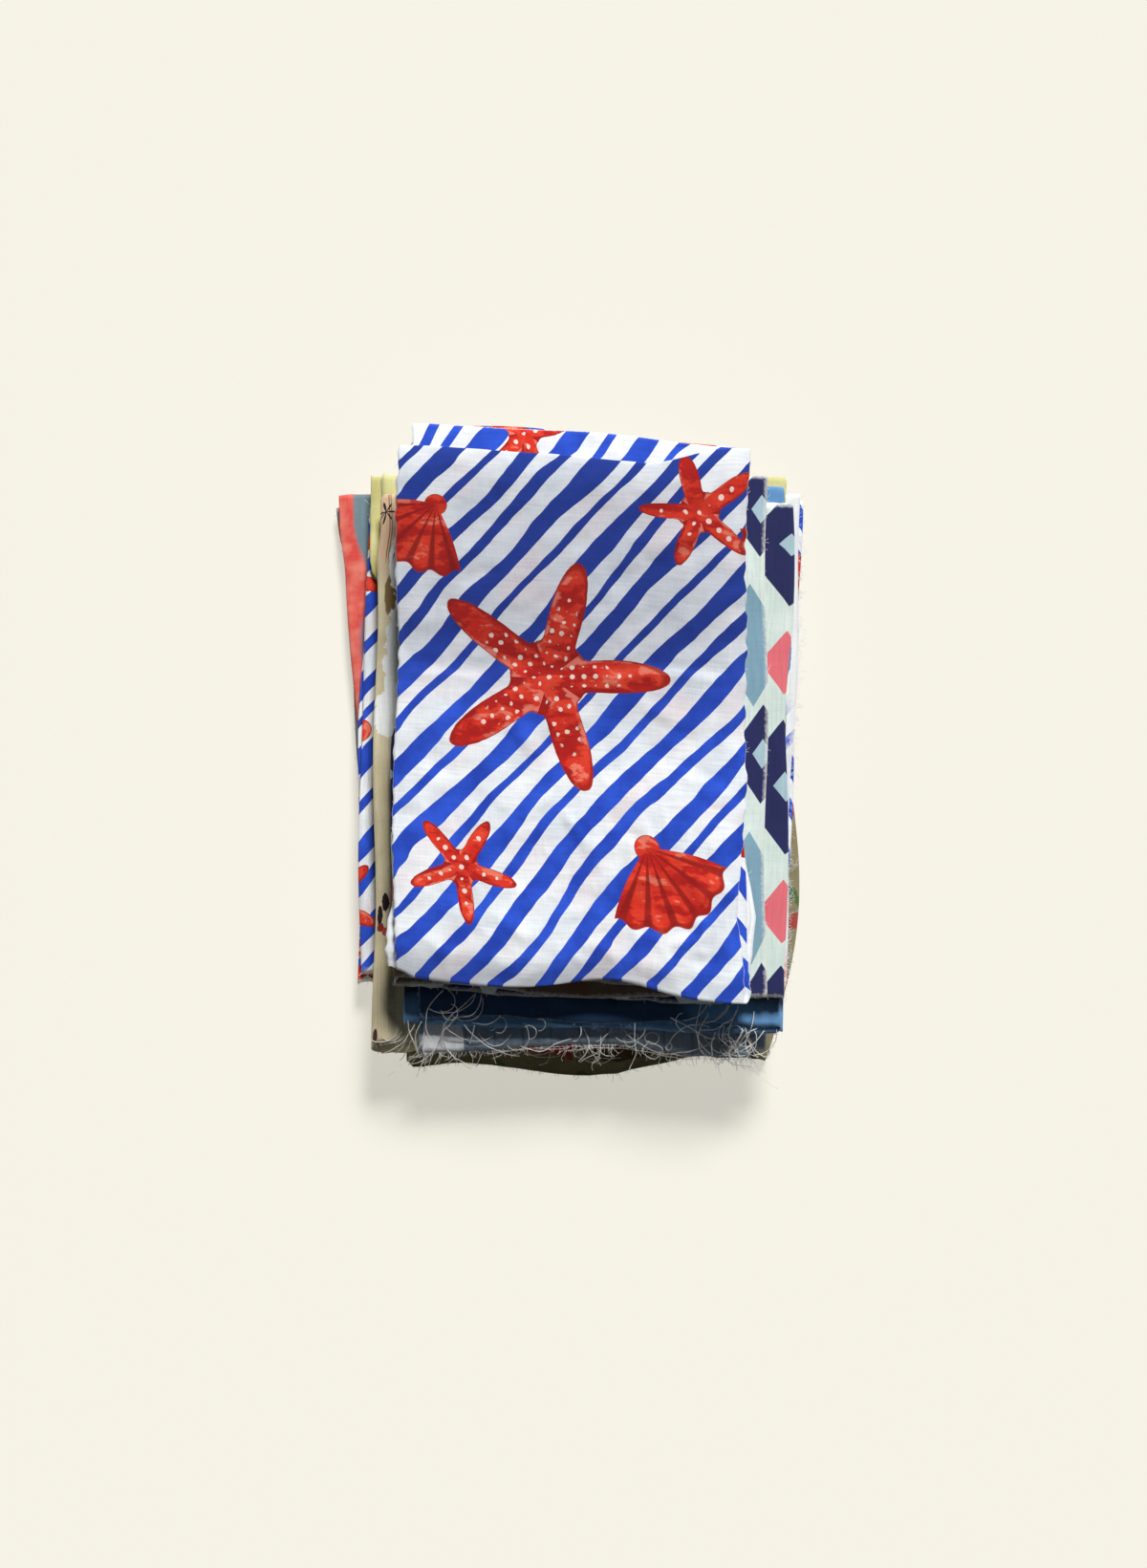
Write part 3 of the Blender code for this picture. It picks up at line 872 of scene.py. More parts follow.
def star(given):
    """A starfish, flower or leaf pair, by its number of arms and how pointed they are."""
    x, y = around(given)
    angle = calc("ARCTAN2", y, x) - given["Turn"]
    far = distance(x, y)
    lobe = (calc("COSINE", angle * given["Arms"]) * 0.5 + 0.5) ** given["Point"]
    rim = (lobe * (1 - given["Waist"]) + given["Waist"]) * given["Reach"]
    depth = far / (rim + (noise(given["Vector"], 4 * MM) - 0.5) * (1.6 * MM))
    half = TURN / 2 / given["Arms"]
    folded = calc("WRAP", angle, half, half * -1)
    along, aside = far * calc("COSINE", folded), far * calc("SINE", folded)
    steps = zip((along, aside), DOT_STEPS)
    spot = distance(*(calc("WRAP", place, step, -step) for place, step in steps))
    size = (noise(given["Vector"], 6 * MM) - 0.40) * DOT_SPREAD
    size = calc("MINIMUM", size, DOT_RADIUS)
    dots = stepped(size - spot, 0.0, 0.12 * MM) * stepped(depth, 0.74, 0.66)
    on_arm = stepped(calc("ABSOLUTE", aside), *DOT_ENDS)
    return {"Inside": stepped(depth, 1.004, 0.996), "Depth": depth, "Dots": dots * on_arm,
            "Side": aside / (given["Reach"] * 0.2)}


def shell(given):
    """A scallop shell: a ribbed fan with a wavy rim and a small hinge."""
    x, y = around(given)
    angle = calc("WRAP", calc("ARCTAN2", y, x) - given["Turn"], TURN / 2, -TURN / 2)
    fan = stepped(calc("ABSOLUTE", angle), 1.12, 0.95)
    ribs = calc("COSINE", angle * (given["Ribs"] * 2.0))
    depth = distance(x, y) / (((ribs * 0.035 + 0.80) * fan + 0.15) * given["Reach"])
    return {"Inside": stepped(depth, 1.006, 0.994), "Depth": depth,
            "Rib": stepped(ribs, -0.3, -0.8) * fan}


def diamonds(given):
    """Upright diamonds on a grid."""
    x, y = [calc("ABSOLUTE", place) for place in around(given)]
    depth = x / given["Half Across"] + y / given["Half Along"]
    return {"Inside": stepped(depth, 1.006, 0.994)}


def ragged_patch(given):
    """One blot of colour with a ragged edge."""
    x, y = split(given["Vector"])
    x, y = (x - given["Across"]) / given["Half Across"], (y - given["Along"]) / given["Half Along"]
    rough = noise(given["Vector"], 6 * MM, 4.0, 0.65) - 0.5
    depth = distance(x, y) + rough * given["Ragged"]
    return {"Inside": 1 - stepped(depth, 1 - given["Soft"], given["Soft"] + 1)}


PLACE = {"Across": 0.0, "Along": 0.0}
HALVES = {"Half_Across": 10 * MM, "Half_Along": 10 * MM}
REPEATED = {**PLACE, "Repeat_Across": 1.0, "Repeat_Along": 1.0}
TURNED = {**REPEATED, "Turn": 0.0, "Reach": 20 * MM}
WEAVE = made_group("plain_weave", plain_weave, Pitch=0.42 * MM)
STRIPES = made_group("diagonal_stripes", diagonal_stripes, Slant=50.0, Repeat=46 * MM)
STAR = made_group("star_motif", star, **TURNED, Arms=5.0, Waist=0.32, Point=2.4)
SHELL = made_group("shell_motif", shell, **TURNED, Ribs=9.0)
DIAMONDS = made_group("diamonds", diamonds, **REPEATED, **HALVES)
PATCH = made_group("ragged_patch", ragged_patch, **PLACE, **HALVES, Ragged=0.35, Soft=0.02)


def new_material(name, roughness, specular):
    """A material and its shader."""
    made = bpy.data.materials.new(name)
    made.use_nodes = True
    shader = made.node_tree.nodes["Principled BSDF"]
    shader.inputs["Roughness"].default_value = roughness
    shader.inputs["Specular IOR Level"].default_value = specular
    return made, shader


def finish_shader(shader, colour, height, strength, depth):
    """Gives a shader its colour, and small bumps of a depth."""
    plug(shader.inputs["Base Color"], colour)
    inputs = {"Strength": strength, "Distance": depth, "Height": height}
    plug(shader.inputs["Normal"], output(add(height.tree, "ShaderNodeBump", inputs)))


SLUB_TONE = 0.16
LINT_SHARE = 0.75


def cotton(name, paint, lint, lint_reach):
    """Matt printed or dyed cotton. paint gives its colour from the flat cloth's metres."""
    made, shader = new_material(name, 0.93, 0.25)
    shader.inputs["Sheen Weight"].default_value = 0.12
    shader.inputs["Sheen Roughness"].default_value = 0.5
    tree = made.node_tree
    flat = output(add(tree, "ShaderNodeUVMap", uv_map="flat"))
    weave = use(WEAVE, flat)
    tone = stepped(weave["Slub"], 0.32, 0.68) * SLUB_TONE + (1 - SLUB_TONE / 2)
    grey = output(add(tree, "ShaderNodeCombineColor", {0: tone, 1: tone, 2: tone}))
    colour = mixed(1.0, paint(flat), grey, "MULTIPLY")
    edge = output(add(tree, "ShaderNodeAttribute", attribute_name="edge_mm"), "Fac")
    fuzz = noise(flat, 1.5 * MM, 3.0, 0.6) * (2 * lint_reach) + edge
    fuzz = stepped(fuzz, 2.2 * lint_reach, 0.8 * lint_reach)
    height = weave["Slub"] * 2.2 + weave["Height"] + noise(flat, 3.5 * MM, 3.0) * 5.0
    finish_shader(shader, mixed(fuzz * LINT_SHARE, colour, lint), height, 0.8, 0.05 * MM)
    return made


def thread_material(name, pale, dark):
    """Loose cotton fibre."""
    made, shader = new_material(name, 0.85, 0.3)
    place = output(add(made.node_tree, "ShaderNodeTexCoord"), "Object")
    colour = mixed(stepped(noise(place, 4 * MM), 0.35, 0.65), pale, dark)
    finish_shader(shader, colour, noise(place, 0.4 * MM), 0.5, 0.03 * MM)
    return made


def washed(flat, first, second, size, low=0.35, high=0.65):
    """A colour that drifts softly between two."""
    return mixed(stepped(noise(flat, size, 3.0), low, high), first, second)


def drifted(flat, axis, size, reach):
    """A coordinate of the flat cloth that strays, so that a line along it is uneven."""
    return (noise(flat, size) - 0.5) * reach + split(flat)[axis]


def patched(flat, colour, over, across, along, half_across, half_along,
            ragged=0.35, soft=0.02, blend="MIX"):
    """A ragged blot laid over a colour. Places and sizes are in millimetres."""
    inside = use(
        PATCH, flat, Across=across * MM, Along=along * MM, Half_Across=half_across * MM,
        Half_Along=half_along * MM, Ragged=ragged, Soft=soft,
    )["Inside"]
    return mixed(inside, colour, over, blend)


def all_patched(flat, colour, rows, *shared):
    """Blots laid over a colour, each with its own colour and place and what they share."""
    for row in rows:
        colour = patched(flat, colour, *row, *shared)
    return colour


def placed(group, flat, across, along, repeat, **numbers):
    """The outputs of a motif at a place, repeated over the cloth, in millimetres."""
    return use(
        group, flat, Across=across * MM, Along=along * MM,
        Repeat_Across=repeat[0] * MM, Repeat_Along=repeat[1] * MM, **numbers,
    )


# Sea motifs on the striped cloth, in millimetres of the flat cloth. Across is along the
# section, from the free end, and along is from the left raw edge.
Motif = namedtuple("Motif", "kind across along turn reach")
SEA_REPEAT = (262, 147)
SEA_MOTIFS = (
    Motif("star", 112, 60, 0.35, 48),
    Motif("shell", 178, 100, 0.5, 34),
    Motif("star", 42, 120, 0.9, 23),
    Motif("shell", 46, 16, -0.6, 30),
    Motif("star", 190, 27, 0.1, 22),
    Motif("star", 1, 50, 0.5, 20),
)
# How the stripes slant, in degrees from the folds' way
TOP_SLANT = 50
LOW_SLANT = 140


def royal_blue(flat):
    return washed(flat, "#2144b8", "#2e59da", 14 * MM)


def sea_stripes(flat, blue, slant):
    """Blue stripes on white, with red starfish and scallops printed over them."""
    ground = washed(flat, "#f6f9fd", "#e5ecf4", 20 * MM)
    ground = mixed(stepped(noise(flat, 34 * MM), 0.5, 0.75), ground, "#efe3e6")
    colour = mixed(use(STRIPES, flat, Slant=slant)["Stripe"], ground, blue)
    brush = noise(scaled(flat, 1, 0.45), 7 * MM, 4.0, 0.6)
    red = washed(flat, "#d92b1c", "#e8452c", 12 * MM)
    red = mixed(stepped(brush, 0.50, 0.56), red, "#b81c16")
    red = mixed(stepped(brush, 0.42, 0.38), red, "#f07a64")
    for kind, across, along, turn, reach in SEA_MOTIFS:
        group = STAR if kind == "star" else SHELL
        shape = placed(group, flat, across, along, SEA_REPEAT, Turn=turn, Reach=reach * MM)
        if kind == "star":
            side = brush * 1.6 + shape["Side"]
            own = mixed(stepped(side, 0.32, 0.16), red, "#a91612")
            own = mixed(stepped(side, 1.38, 1.5) * 0.8, own, "#f58a76")
            own = mixed(shape["Dots"], own, "#f8dccf")
        else:
            own = mixed(shape["Rib"] * 0.85, red, "#8f1412")
        rim = stepped(shape["Depth"] - brush * 0.12, 0.86, 0.90)
        own = mixed(rim * 0.8, own, "#9c1813")
        colour = mixed(shape["Inside"], colour, own)
    return colour


# Where painted shade darkens the top cloth, over its back half and on its front fold at the left, and
# where its print is bare, in millimetres of the flat cloth
SHADE_PLACES = (("#d2d2d7", 74, 66, 50, 96), ("#d2d2d7", 236, 40, 9, 60))
SHADED_BLUE = "#2440a0"
SHADE_END = 130 * MM
BARE_PLACES = (("#f2f4f8", 683, 0, 62, 6), ("#f2f4f8", 683, 138, 62, 6))


def bare_and_shaded_sea_stripes(flat):
    """The same print, with painted shade that darkens its back half, its blue stripes there and the
    front fold on the left, and bare at two places of its edges.
    """
    # painted shade: the blue stripes turn darker over the back half
    back = stepped(drifted(flat, 0, 30 * MM, 50 * MM), SHADE_END, SHADE_END - 34 * MM)
    back = back * stepped(split(flat)[0], 10 * MM, 20 * MM)
    colour = sea_stripes(flat, mixed(back, royal_blue(flat), SHADED_BLUE), TOP_SLANT)
    colour = all_patched(flat, colour, BARE_PLACES, 0.2, 0.02)
    # painted shade: grey multiplied over the back half and over the front fold on the left
    return all_patched(flat, colour, SHADE_PLACES, 0.3, 0.5, "MULTIPLY")


FADED_PLACES = (
    ("#e8ebee", 2, 40, 8, 58, 0.5, 0.2),
    ("#5f86b5", 5.4, 66, 2.6, 13, 0.5, 0.03),
    ("#dfe6ea", 1, 150, 6, 44, 0.5, 0.1),
)


def faded_sea_stripes(flat):
    """The same print, washed out along the free end."""
    return all_patched(flat, sea_stripes(flat, royal_blue(flat), LOW_SLANT), FADED_PLACES)


# Patchwork diamonds: colour, place and half widths, in millimetres of the flat cloth
PATCHWORK_REPEAT = (54, 100)
PATCHWORK = (
    ("#7fa3b5", 6, 70, 15, 25),
    ("#262a58", 2, 14, 14, 20),
    ("#a9c4cf", 2, 14, 4, 6),
    ("#e3707a", 33, 70, 10, 13),
    ("#262a58", 33, 20, 22, 27),
    ("#a9c4cf", 33, 20, 5, 6),
)
# A brown stain along the front edge, made dark as painted shade where the top cloth's front edge shades
# it
STAINED_SHADE_COLOUR = "#6e5c48"
STAINED_SHADE_START = 197 * MM
# Where the stain and its painted shade fade out, from none to full
STAINED_SHADE_SIDES = ((22 * MM, 28 * MM), (288 * MM, 282 * MM))


def patchwork(flat):
    """Mint ground with navy, teal, coral and pale blue diamonds, and a brown stain along the front
    edge, darkened as painted shade under the top cloth's front edge.
    """
    colour = washed(flat, "#dde9e3", "#cfdfd8", 20 * MM)
    for tint, across, along, half_across, half_along in PATCHWORK:
        halves = {"Half_Across": half_across * MM, "Half_Along": half_along * MM}
        shape = placed(DIAMONDS, flat, across, along, PATCHWORK_REPEAT, **halves)
        colour = mixed(shape["Inside"], colour, tint)
    place = drifted(flat, 1, 12 * MM, 8 * MM)
    stain_and_shade = stepped(place, STAINED_SHADE_START, STAINED_SHADE_START + 3 * MM)
    for side in STAINED_SHADE_SIDES:
        stain_and_shade = stain_and_shade * stepped(split(flat)[0], *side)
    return mixed(stain_and_shade, colour, STAINED_SHADE_COLOUR)


# Where the blue cloth turns from navy to lighter denim, from none to full, measured from its back edge,
# and where its front edge turns lightest towards the right corner. The navy is painted shade under the
# cloths above, and the denim along the front edge and at the right corner is painted light.
LIT_FRONT_EDGE = (203 * MM, 208 * MM)
LIGHTER_BACK_EDGE = (16 * MM, 9 * MM)
LIT_CORNER = (104 * MM, 116 * MM)


def plain_blue(flat):
    """Navy as painted shade under the cloths above, turning to lighter denim along the back edge and,
    as painted light, along the front edge, which is lightest at the right corner.
    """
    # painted shade: dark navy where the cloths above shade this one
    navy = washed(flat, "#1b2a4a", "#15213c", 16 * MM)
    denim = washed(flat, "#6d9dcd", "#5a8abb", 12 * MM)
    # painted light: the front edge is darker blue at the left and lighter denim towards the right
    # corner, where light reaches past the cloths above
    denim = mixed(stepped(split(flat)[0], *LIT_CORNER), "#2f4c74", denim)
    place = drifted(flat, 1, 24 * MM, 14 * MM)
    lighter_edges = calc("MAXIMUM", stepped(place, *LIT_FRONT_EDGE), stepped(place, *LIGHTER_BACK_EDGE))
    return mixed(lighter_edges, navy, denim)


CHECK_STEPS = (11.5 * MM, 13 * MM)


def faded_check(flat):
    """Faded grey-blue with thin darker lines and one off-white block."""
    colour = washed(flat, "#9aa9b9", "#8496a8", 20 * MM)
    for place, step in zip(split(flat), CHECK_STEPS):
        away = calc("ABSOLUTE", calc("WRAP", place, step / 2, -step / 2))
        colour = mixed(stepped(away, 0.7 * MM, 0.35 * MM) * 0.5, colour, "#60748a")
    return patched(flat, colour, "#eef0f4", 124, 214, 8, 16, 0.12, 0.01)


# Blots, a painted shade, lines and a sprig on the beige cloth's left roll, in millimetres of the flat
# cloth
BEIGE_BLOTS_AND_SHADE = (
    ("#d9b898", 150, 12, 9, 20, 0.3, 0.3),
    ("#8a7048", 149.5, 42, 2.6, 8, 0.8, 0.1),
    ("#f1f4f2", 146.5, 28, 4.0, 12, 1.2, 0.02),
    ("#f5f8f6", 145, 67, 5.8, 29, 1.8, 0.02),
    ("#f5f8f6", 148, 87, 7.6, 10, 1.3, 0.02),
    # painted shade: a dark strip along the roll's side next to the pile, where the cloths above shade
    # it
    ("#6f6142", 146.5, 150, 2.4, 46, 0.5, 0.5),
    ("#2a1a1c", 150.6, 160.5, 1.5, 3.0, 1.8, 0.03),
    ("#2a1a1c", 152.8, 165.5, 1.3, 4.2, 1.8, 0.03),
    ("#8e2b28", 152.2, 170.0, 1.9, 2.0, 1.8, 0.03),
    ("#b04a3c", 150.2, 171.5, 1.4, 1.6, 1.6, 0.03),
    ("#4a2a24", 153.6, 210, 0.9, 2.4, 0.4, 0.1),
    ("#5a3128", 149, 221, 0.8, 1.2, 0.4, 0.1),
)
BEIGE_LINES = (("#6d5638", 149.6), ("#8a6f50", 151.6), ("#7c2f26", 152.6))
LINE_HALF = 0.28 * MM
LINE_END = 30 * MM
SPRIG = {"Turn": 0.4, "Reach": 4.2 * MM, "Arms": 7.0, "Waist": 0.10, "Point": 2.0}
SPRIG_REPEAT = (54, 238)


def blotched_beige(flat):
    """Khaki beige with white and brown blots, a painted shade along the side next to the pile, fine
    lines and small dark sprigs.
    """
    colour = all_patched(flat, washed(flat, "#e4d8b6", "#d2c5a1", 16 * MM), BEIGE_BLOTS_AND_SHADE)
    across, along = split(flat)
    drift = noise(flat, 14 * MM) * (1.6 * MM) + across
    short = stepped(along, LINE_END, LINE_END - 4 * MM)
    for tint, place in BEIGE_LINES:
        away = calc("ABSOLUTE", drift - place * MM)
        colour = mixed(stepped(away, LINE_HALF, 0.5 * LINE_HALF) * short, colour, tint)
    sprig = placed(STAR, flat, 153.4, 7, SPRIG_REPEAT, **SPRIG)
    return mixed(sprig["Inside"], colour, "#2c2022")


def lime_patches(flat):
    """Pale lime with dark patches."""
    colour = washed(flat, "#dcd99c", "#c4bd7c", 12 * MM)
    colour = patched(flat, colour, "#f0efe6", 331, 30, 2, 24, 0.6)
    return patched(flat, colour, "#25303c", 328, 46, 4, 9, 0.6)


def coral_bands(flat):
    """Soft bands of coral red and grey teal, as in a loose watercolour."""
    band = split(flat)[0] * 0.9 + noise(flat, 30 * MM, 3.0) * (30 * MM)
    coral = washed(flat, "#ea8272", "#de5048", 9 * MM, 0.36, 0.62)
    teal = washed(flat, "#6f8791", "#8ea6ad", 12 * MM)
    colour = mixed(stepped(calc("SINE", band / (5.2 * MM)), 0.55, 0.85), coral, teal)
    colour = patched(flat, colour, "#738a93", 152.6, 8, 5.6, 28, 0.3, 0.12)
    return patched(flat, colour, "#8b7a8c", 157, 72, 4, 14, 0.4, 0.3)


# Small leaves and flowers of the floral cloth, and the colours along its right and front
# edges: colour, place and half widths, in millimetres of the flat cloth
Leaf = namedtuple("Leaf", "colour across along turn reach arms waist point")
LEAF_REPEAT = (38, 46)
LEAVES = (
    Leaf("#4f6a3a", 12, 20, 0.6, 9, 2.0, 0.08, 1.4),
    Leaf("#5d7444", 40, 44, 2.2, 8, 2.0, 0.08, 1.4),
    Leaf("#8f2a28", 26, 10, 0.2, 5, 5.0, 0.55, 0.6),
    Leaf("#a0463c", 50, 30, 0.9, 4, 5.0, 0.55, 0.6),
)
BLOOMS = (
    ("#7f9a80", 4, 104, 14, 7),
    ("#c9dccf", 3, 116, 12, 7),
    ("#e8ebe9", 2, 134, 14, 14),
    ("#a8242a", 4, 155, 12, 8),
    ("#c6c0b2", 3, 174, 14, 12),
    ("#4a3a34", 3, 189, 11, 6),
    ("#4f6a70", 3, 199, 11, 5),
    ("#d22e28", 100, 211, 17, 5),
    ("#5f7a40", 12, 214, 6, 9),
    ("#5e4a34", 60, 214, 18, 5),
)


def floral(flat):
    """Khaki ground with red flowers, leaves and larger blooms near the edges."""
    colour = washed(flat, "#7f7859", "#948b6c", 20 * MM)
    for leaf in LEAVES:
        shape = placed(
            STAR, flat, leaf.across, leaf.along, LEAF_REPEAT, Turn=leaf.turn,
            Reach=leaf.reach * MM, Arms=leaf.arms, Waist=leaf.waist, Point=leaf.point,
        )
        colour = mixed(shape["Inside"], colour, leaf.colour)
    return all_patched(flat, colour, BLOOMS, 0.5, 0.04)


# lint is the colour of the raw edge, and lint_reach its width in millimetres. fray is the
# number of short threads in a millimetre of the top layer's edges, then of the others',
# and their length in millimetres.
Finish = namedtuple("Finish", "paint lint lint_reach thread_pale thread_dark fray")
FINISHES = {
    "stripe_top": Finish(bare_and_shaded_sea_stripes, "#eeeef2", 0.22, "#f4f4f6", "#c9cfe4", (0.10, 0.05, 0.7)),
    "geometric": Finish(patchwork, "#f4f4ef", 1.3, "#f5f5f0", "#d3ddd8", (0.15, 0.08, 0.7)),
    "blue": Finish(plain_blue, "#9db9dc", 0.45, "#b9cde6", "#6f93c4", (0.4, 0.15, 0.8)),
    "grey_blue": Finish(faded_check, "#b9c2cc", 0.5, "#d5d9de", "#98a5b4", (0.45, 0.3, 1.3)),
    "beige": Finish(blotched_beige, "#ddd3bd", 0.4, "#e6dcc6", "#bfae8c", (0.3, 0.12, 0.8)),
    "lime": Finish(lime_patches, "#eeeecb", 0.4, "#eef0c8", "#c9cd8f", (0.35, 0.15, 0.8)),
    "stripe_low": Finish(faded_sea_stripes, "#f2f2f4", 1.8, "#f4f4f6", "#c3c9d8", (0.9, 0.3, 1.4)),
    "coral": Finish(coral_bands, "#eba39b", 0.3, "#eb9a90", "#c9564f", (0.25, 0.12, 0.7)),
    "floral": Finish(floral, "#b5b09d", 0.5, "#cfcabb", "#8f8870", (0.5, 0.25, 1.1)),
}


# Short threads: the most at one face, the shortest and the gamma spread of the others, in
# usual lengths, how far they lean, bend and point down or up, and how deep they are rooted
MOST_AT_A_FACE = 14
SHORT_LENGTHS = (0.35, 1.6, 0.42)
SHORT_LEAN = 0.5
SHORT_BEND = 0.45
SHORT_LIFTS = (-0.25, 0.2)
SHORT_ROOT = 0.3 * MM


def raw_threads(sheet, fray, seed):
    """Short threads that stand out of the raw edges of every layer."""
    draw = np.random.default_rng(seed)
    points = sheet.points
    on_top, on_others, length = fray[0] / MM, fray[1] / MM, fray[2] * MM
    sides = np.where(sheet.layer[:-1] < 1, on_top, on_others)
    ends = np.full(len(points) - 1, on_top)
    edges = (
        (points[0], points[1], sides),
        (points[-1], points[-2], sides),
        (points[:, 0], points[:, 1], ends),
        (points[:, -1], points[:, -2], ends),
    )
    paths = []
    for edge, inner, often in edges:
        for start, end, further_in, share in zip(edge, edge[1:], inner, often):
            count = draw.poisson(np.linalg.norm(end - start) * share)
            for _ in range(min(count, MOST_AT_A_FACE)):
                spot = draw.uniform()
                root = start * (1 - spot) + end * spot
                paths.append(short_thread(root, start - further_in, length, draw))
    return paths


def drawn_length(draw, least, shape, scale):
    return least + draw.gamma(shape, scale)


def short_thread(root, out, typical, draw):
    """One short curved thread from a root, roughly along the way out."""
    out = out / np.linalg.norm(out)
    aside = np.cross(out, (0, 0, 1))
    length = typical * drawn_length(draw, *SHORT_LENGTHS)
    lean = draw.normal(0, SHORT_LEAN)
    bend = draw.normal(0, SHORT_BEND)
    lift = draw.uniform(*SHORT_LIFTS)
    path = []
    for share in (0, 0.4, 0.75, 1):
        side = lean * share + bend * share * share
        move = out * share + aside * side + np.array((0, 0, lift)) * share
        path.append(root + move * length)
    path[0] = path[0] - out * SHORT_ROOT
    return np.array(path)


# How thick a raw thread is, the seed of the top cloth's, and the faces along the middle
# of the top layer
RAW_THREAD = 0.13 * MM
FIRST_SEED = 100
TOP_FACES = 112


def make_cloths():
    """Every cloth's sheet, piece and raw threads, by its name."""
    made = {}
    for order, cloth in enumerate(CLOTHS):
        finish = FINISHES[cloth.name]
        sheet = Sheet(cloth, fine_top=TOP_FACES if order == 0 else 0)
        own = cotton(cloth.name + "_cotton", finish.paint, finish.lint, finish.lint_reach)
        raw = thread_material(cloth.name + "_fibre", finish.thread_pale, finish.thread_dark)
        piece = cloth_piece(sheet, cloth.name + "_sheet", own, raw)
        paths = raw_threads(sheet, finish.fray, FIRST_SEED + order)
        fuzz = threads(cloth.name + "_raw_threads", paths, RAW_THREAD, raw)
        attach(piece, "root")
        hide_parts("cloth_" + cloth.name)
        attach(fuzz, "root")
        made[cloth.name] = (sheet, piece, fuzz)
    return made


# Threads that stand out of the grey-blue cloth's front edge: their number, thickness and
# usual length, the shortest and the gamma spread of the others in usual lengths, how much
# longer they are at the corners, and how much they lean and curl
RAVEL_SEED = 77
RAVEL_COUNT = 130
RAVEL_THREAD = 0.17 * MM
RAVEL_LENGTH = 3.6 * MM
RAVEL_LENGTHS = (0.3, 1.6, 0.4)
RAVEL_AT_CORNER = 1.7
RAVEL_LEAN = 0.4
RAVEL_CURL = 1.1
RAVEL_TURNS = (0.3, 0.9)
# How far a thread sags that is at least so long
RAVEL_SAG = 4.2 * MM
RAVEL_SAG_LENGTH = 11 * MM
# How much closer the threads stand at the corners, and how much further out they lean
RAVEL_CROWDING = 0.045
RAVEL_FAN = 0.8
# Threads that lie along the edge: their number, the shortest as a share of the edge, how
# far the first lies in front of it, how far each further one lies in front of the last
# and below it, and how high their waves are
LENGTHWISE_COUNT = 4
LENGTHWISE_LEAST = 0.25
LENGTHWISE_AWAY = 0.4 * MM
LENGTHWISE_STEP = 0.35 * MM
LENGTHWISE_DROP = 0.1 * MM
LENGTHWISE_WAVE = 0.35 * MM


def on_edge(edge, share):
    """A place on an edge, at a share of the way along it."""
    x = edge[0, 0] + (edge[-1, 0] - edge[0, 0]) * share
    return np.array([x, *(np.interp(x, edge[:, 0], edge[:, axis]) for axis in (1, 2))])


def ravelled_edge(sheet):
    """Threads that came loose along the front raw edge of the grey-blue cloth's top layer."""
    draw = np.random.default_rng(RAVEL_SEED)
    top = np.flatnonzero(sheet.layer == 0)
    edge = sheet.points[-1, top]
    edge = edge[np.argsort(edge[:, 0])]
    paths = []
    for index in range(RAVEL_COUNT):
        share = (index + draw.uniform()) / RAVEL_COUNT
        share -= RAVEL_CROWDING * math.sin(2 * TURN * share)
        root = on_edge(edge, share)
        corner = 2 * share - 1
        fan = RAVEL_FAN * corner**5 + draw.normal(0, RAVEL_LEAN)
        length = drawn_length(draw, *RAVEL_LENGTHS) + RAVEL_AT_CORNER * abs(corner) ** 7
        length *= RAVEL_LENGTH
        way = np.array((math.sin(fan), -math.cos(fan), 0))
        aside = np.array((way[1], -way[0], 0))
        curl, turns = draw.normal(0, RAVEL_CURL) * MM, draw.uniform(*RAVEL_TURNS)
        path = []
        for step in np.linspace(0, 1, 8):
            sag = RAVEL_SAG * min(1, length / RAVEL_SAG_LENGTH) * step**2
            bend = aside * curl * math.sin(TURN * turns * step)
            path.append(root + way * length * step + bend - np.array((0, 0, sag)))
        paths.append(np.array(path))
    for index in range(LENGTHWISE_COUNT):
        start, stop = sorted(draw.uniform(0, 1, 2))
        stop = min(1, start + max(LENGTHWISE_LEAST, stop - start))
        away = LENGTHWISE_AWAY + LENGTHWISE_STEP * index
        path = []
        for share in np.linspace(start, stop, 40):
            x, y, z = on_edge(edge, share)
            y += LENGTHWISE_WAVE * math.sin(TURN * share * 5 + 2 * index) - away
            path.append((x, y, z - LENGTHWISE_DROP * index))
        paths.append(np.array(path))
    return paths


# Where curly threads start, in millimetres, how many there are, how long they are, and
# which way they head, with its spread and its turn from step to step, in radians
Tangle = namedtuple("Tangle", "x_start x_end y_start y_end count reach heading spread turning")
TANGLES = (
    Tangle(-69, -57, -113, -109, 13, 13, -1.80, 0.16, -0.10),
    Tangle(-58, -34, -118, -100, 9, 19, -1.2, 0.8, 0.28),
    Tangle(-30, 40, -120, -112, 18, 13, -1.2, 0.8, 0.30),
    Tangle(42, 60, -120, -106, 8, 19, -1.0, 0.9, 0.26),
    Tangle(56, 74, -118, -110, 20, 19, -1.75, 0.5, 0.24),
)
# No curly thread lies further to the front or to the right, and how softly it bends there
FRONT_LIMIT = -127
RIGHT_LIMIT = 80
LIMIT_ROOM = 7
TANGLE_SEED = 31
TANGLE_STEPS = 10
# The shortest and the longest, in usual lengths, how high the lowest and the highest
# stand over what they lie on, the height of their ends, and how unevenly they turn
TANGLE_LENGTHS = (0.5, 1.4)
TANGLE_HEIGHTS = (0.3, 2.4)
TANGLE_END = 0.1
TANGLE_UNEVEN = 0.12


def kept_below(value, limit):
    """The value, but bent softly so that it stays below a limit."""
    start = limit - LIMIT_ROOM
    over = max(value - start, 0) / LIMIT_ROOM
    return min(value, start) + LIMIT_ROOM * (1 - math.exp(-over))


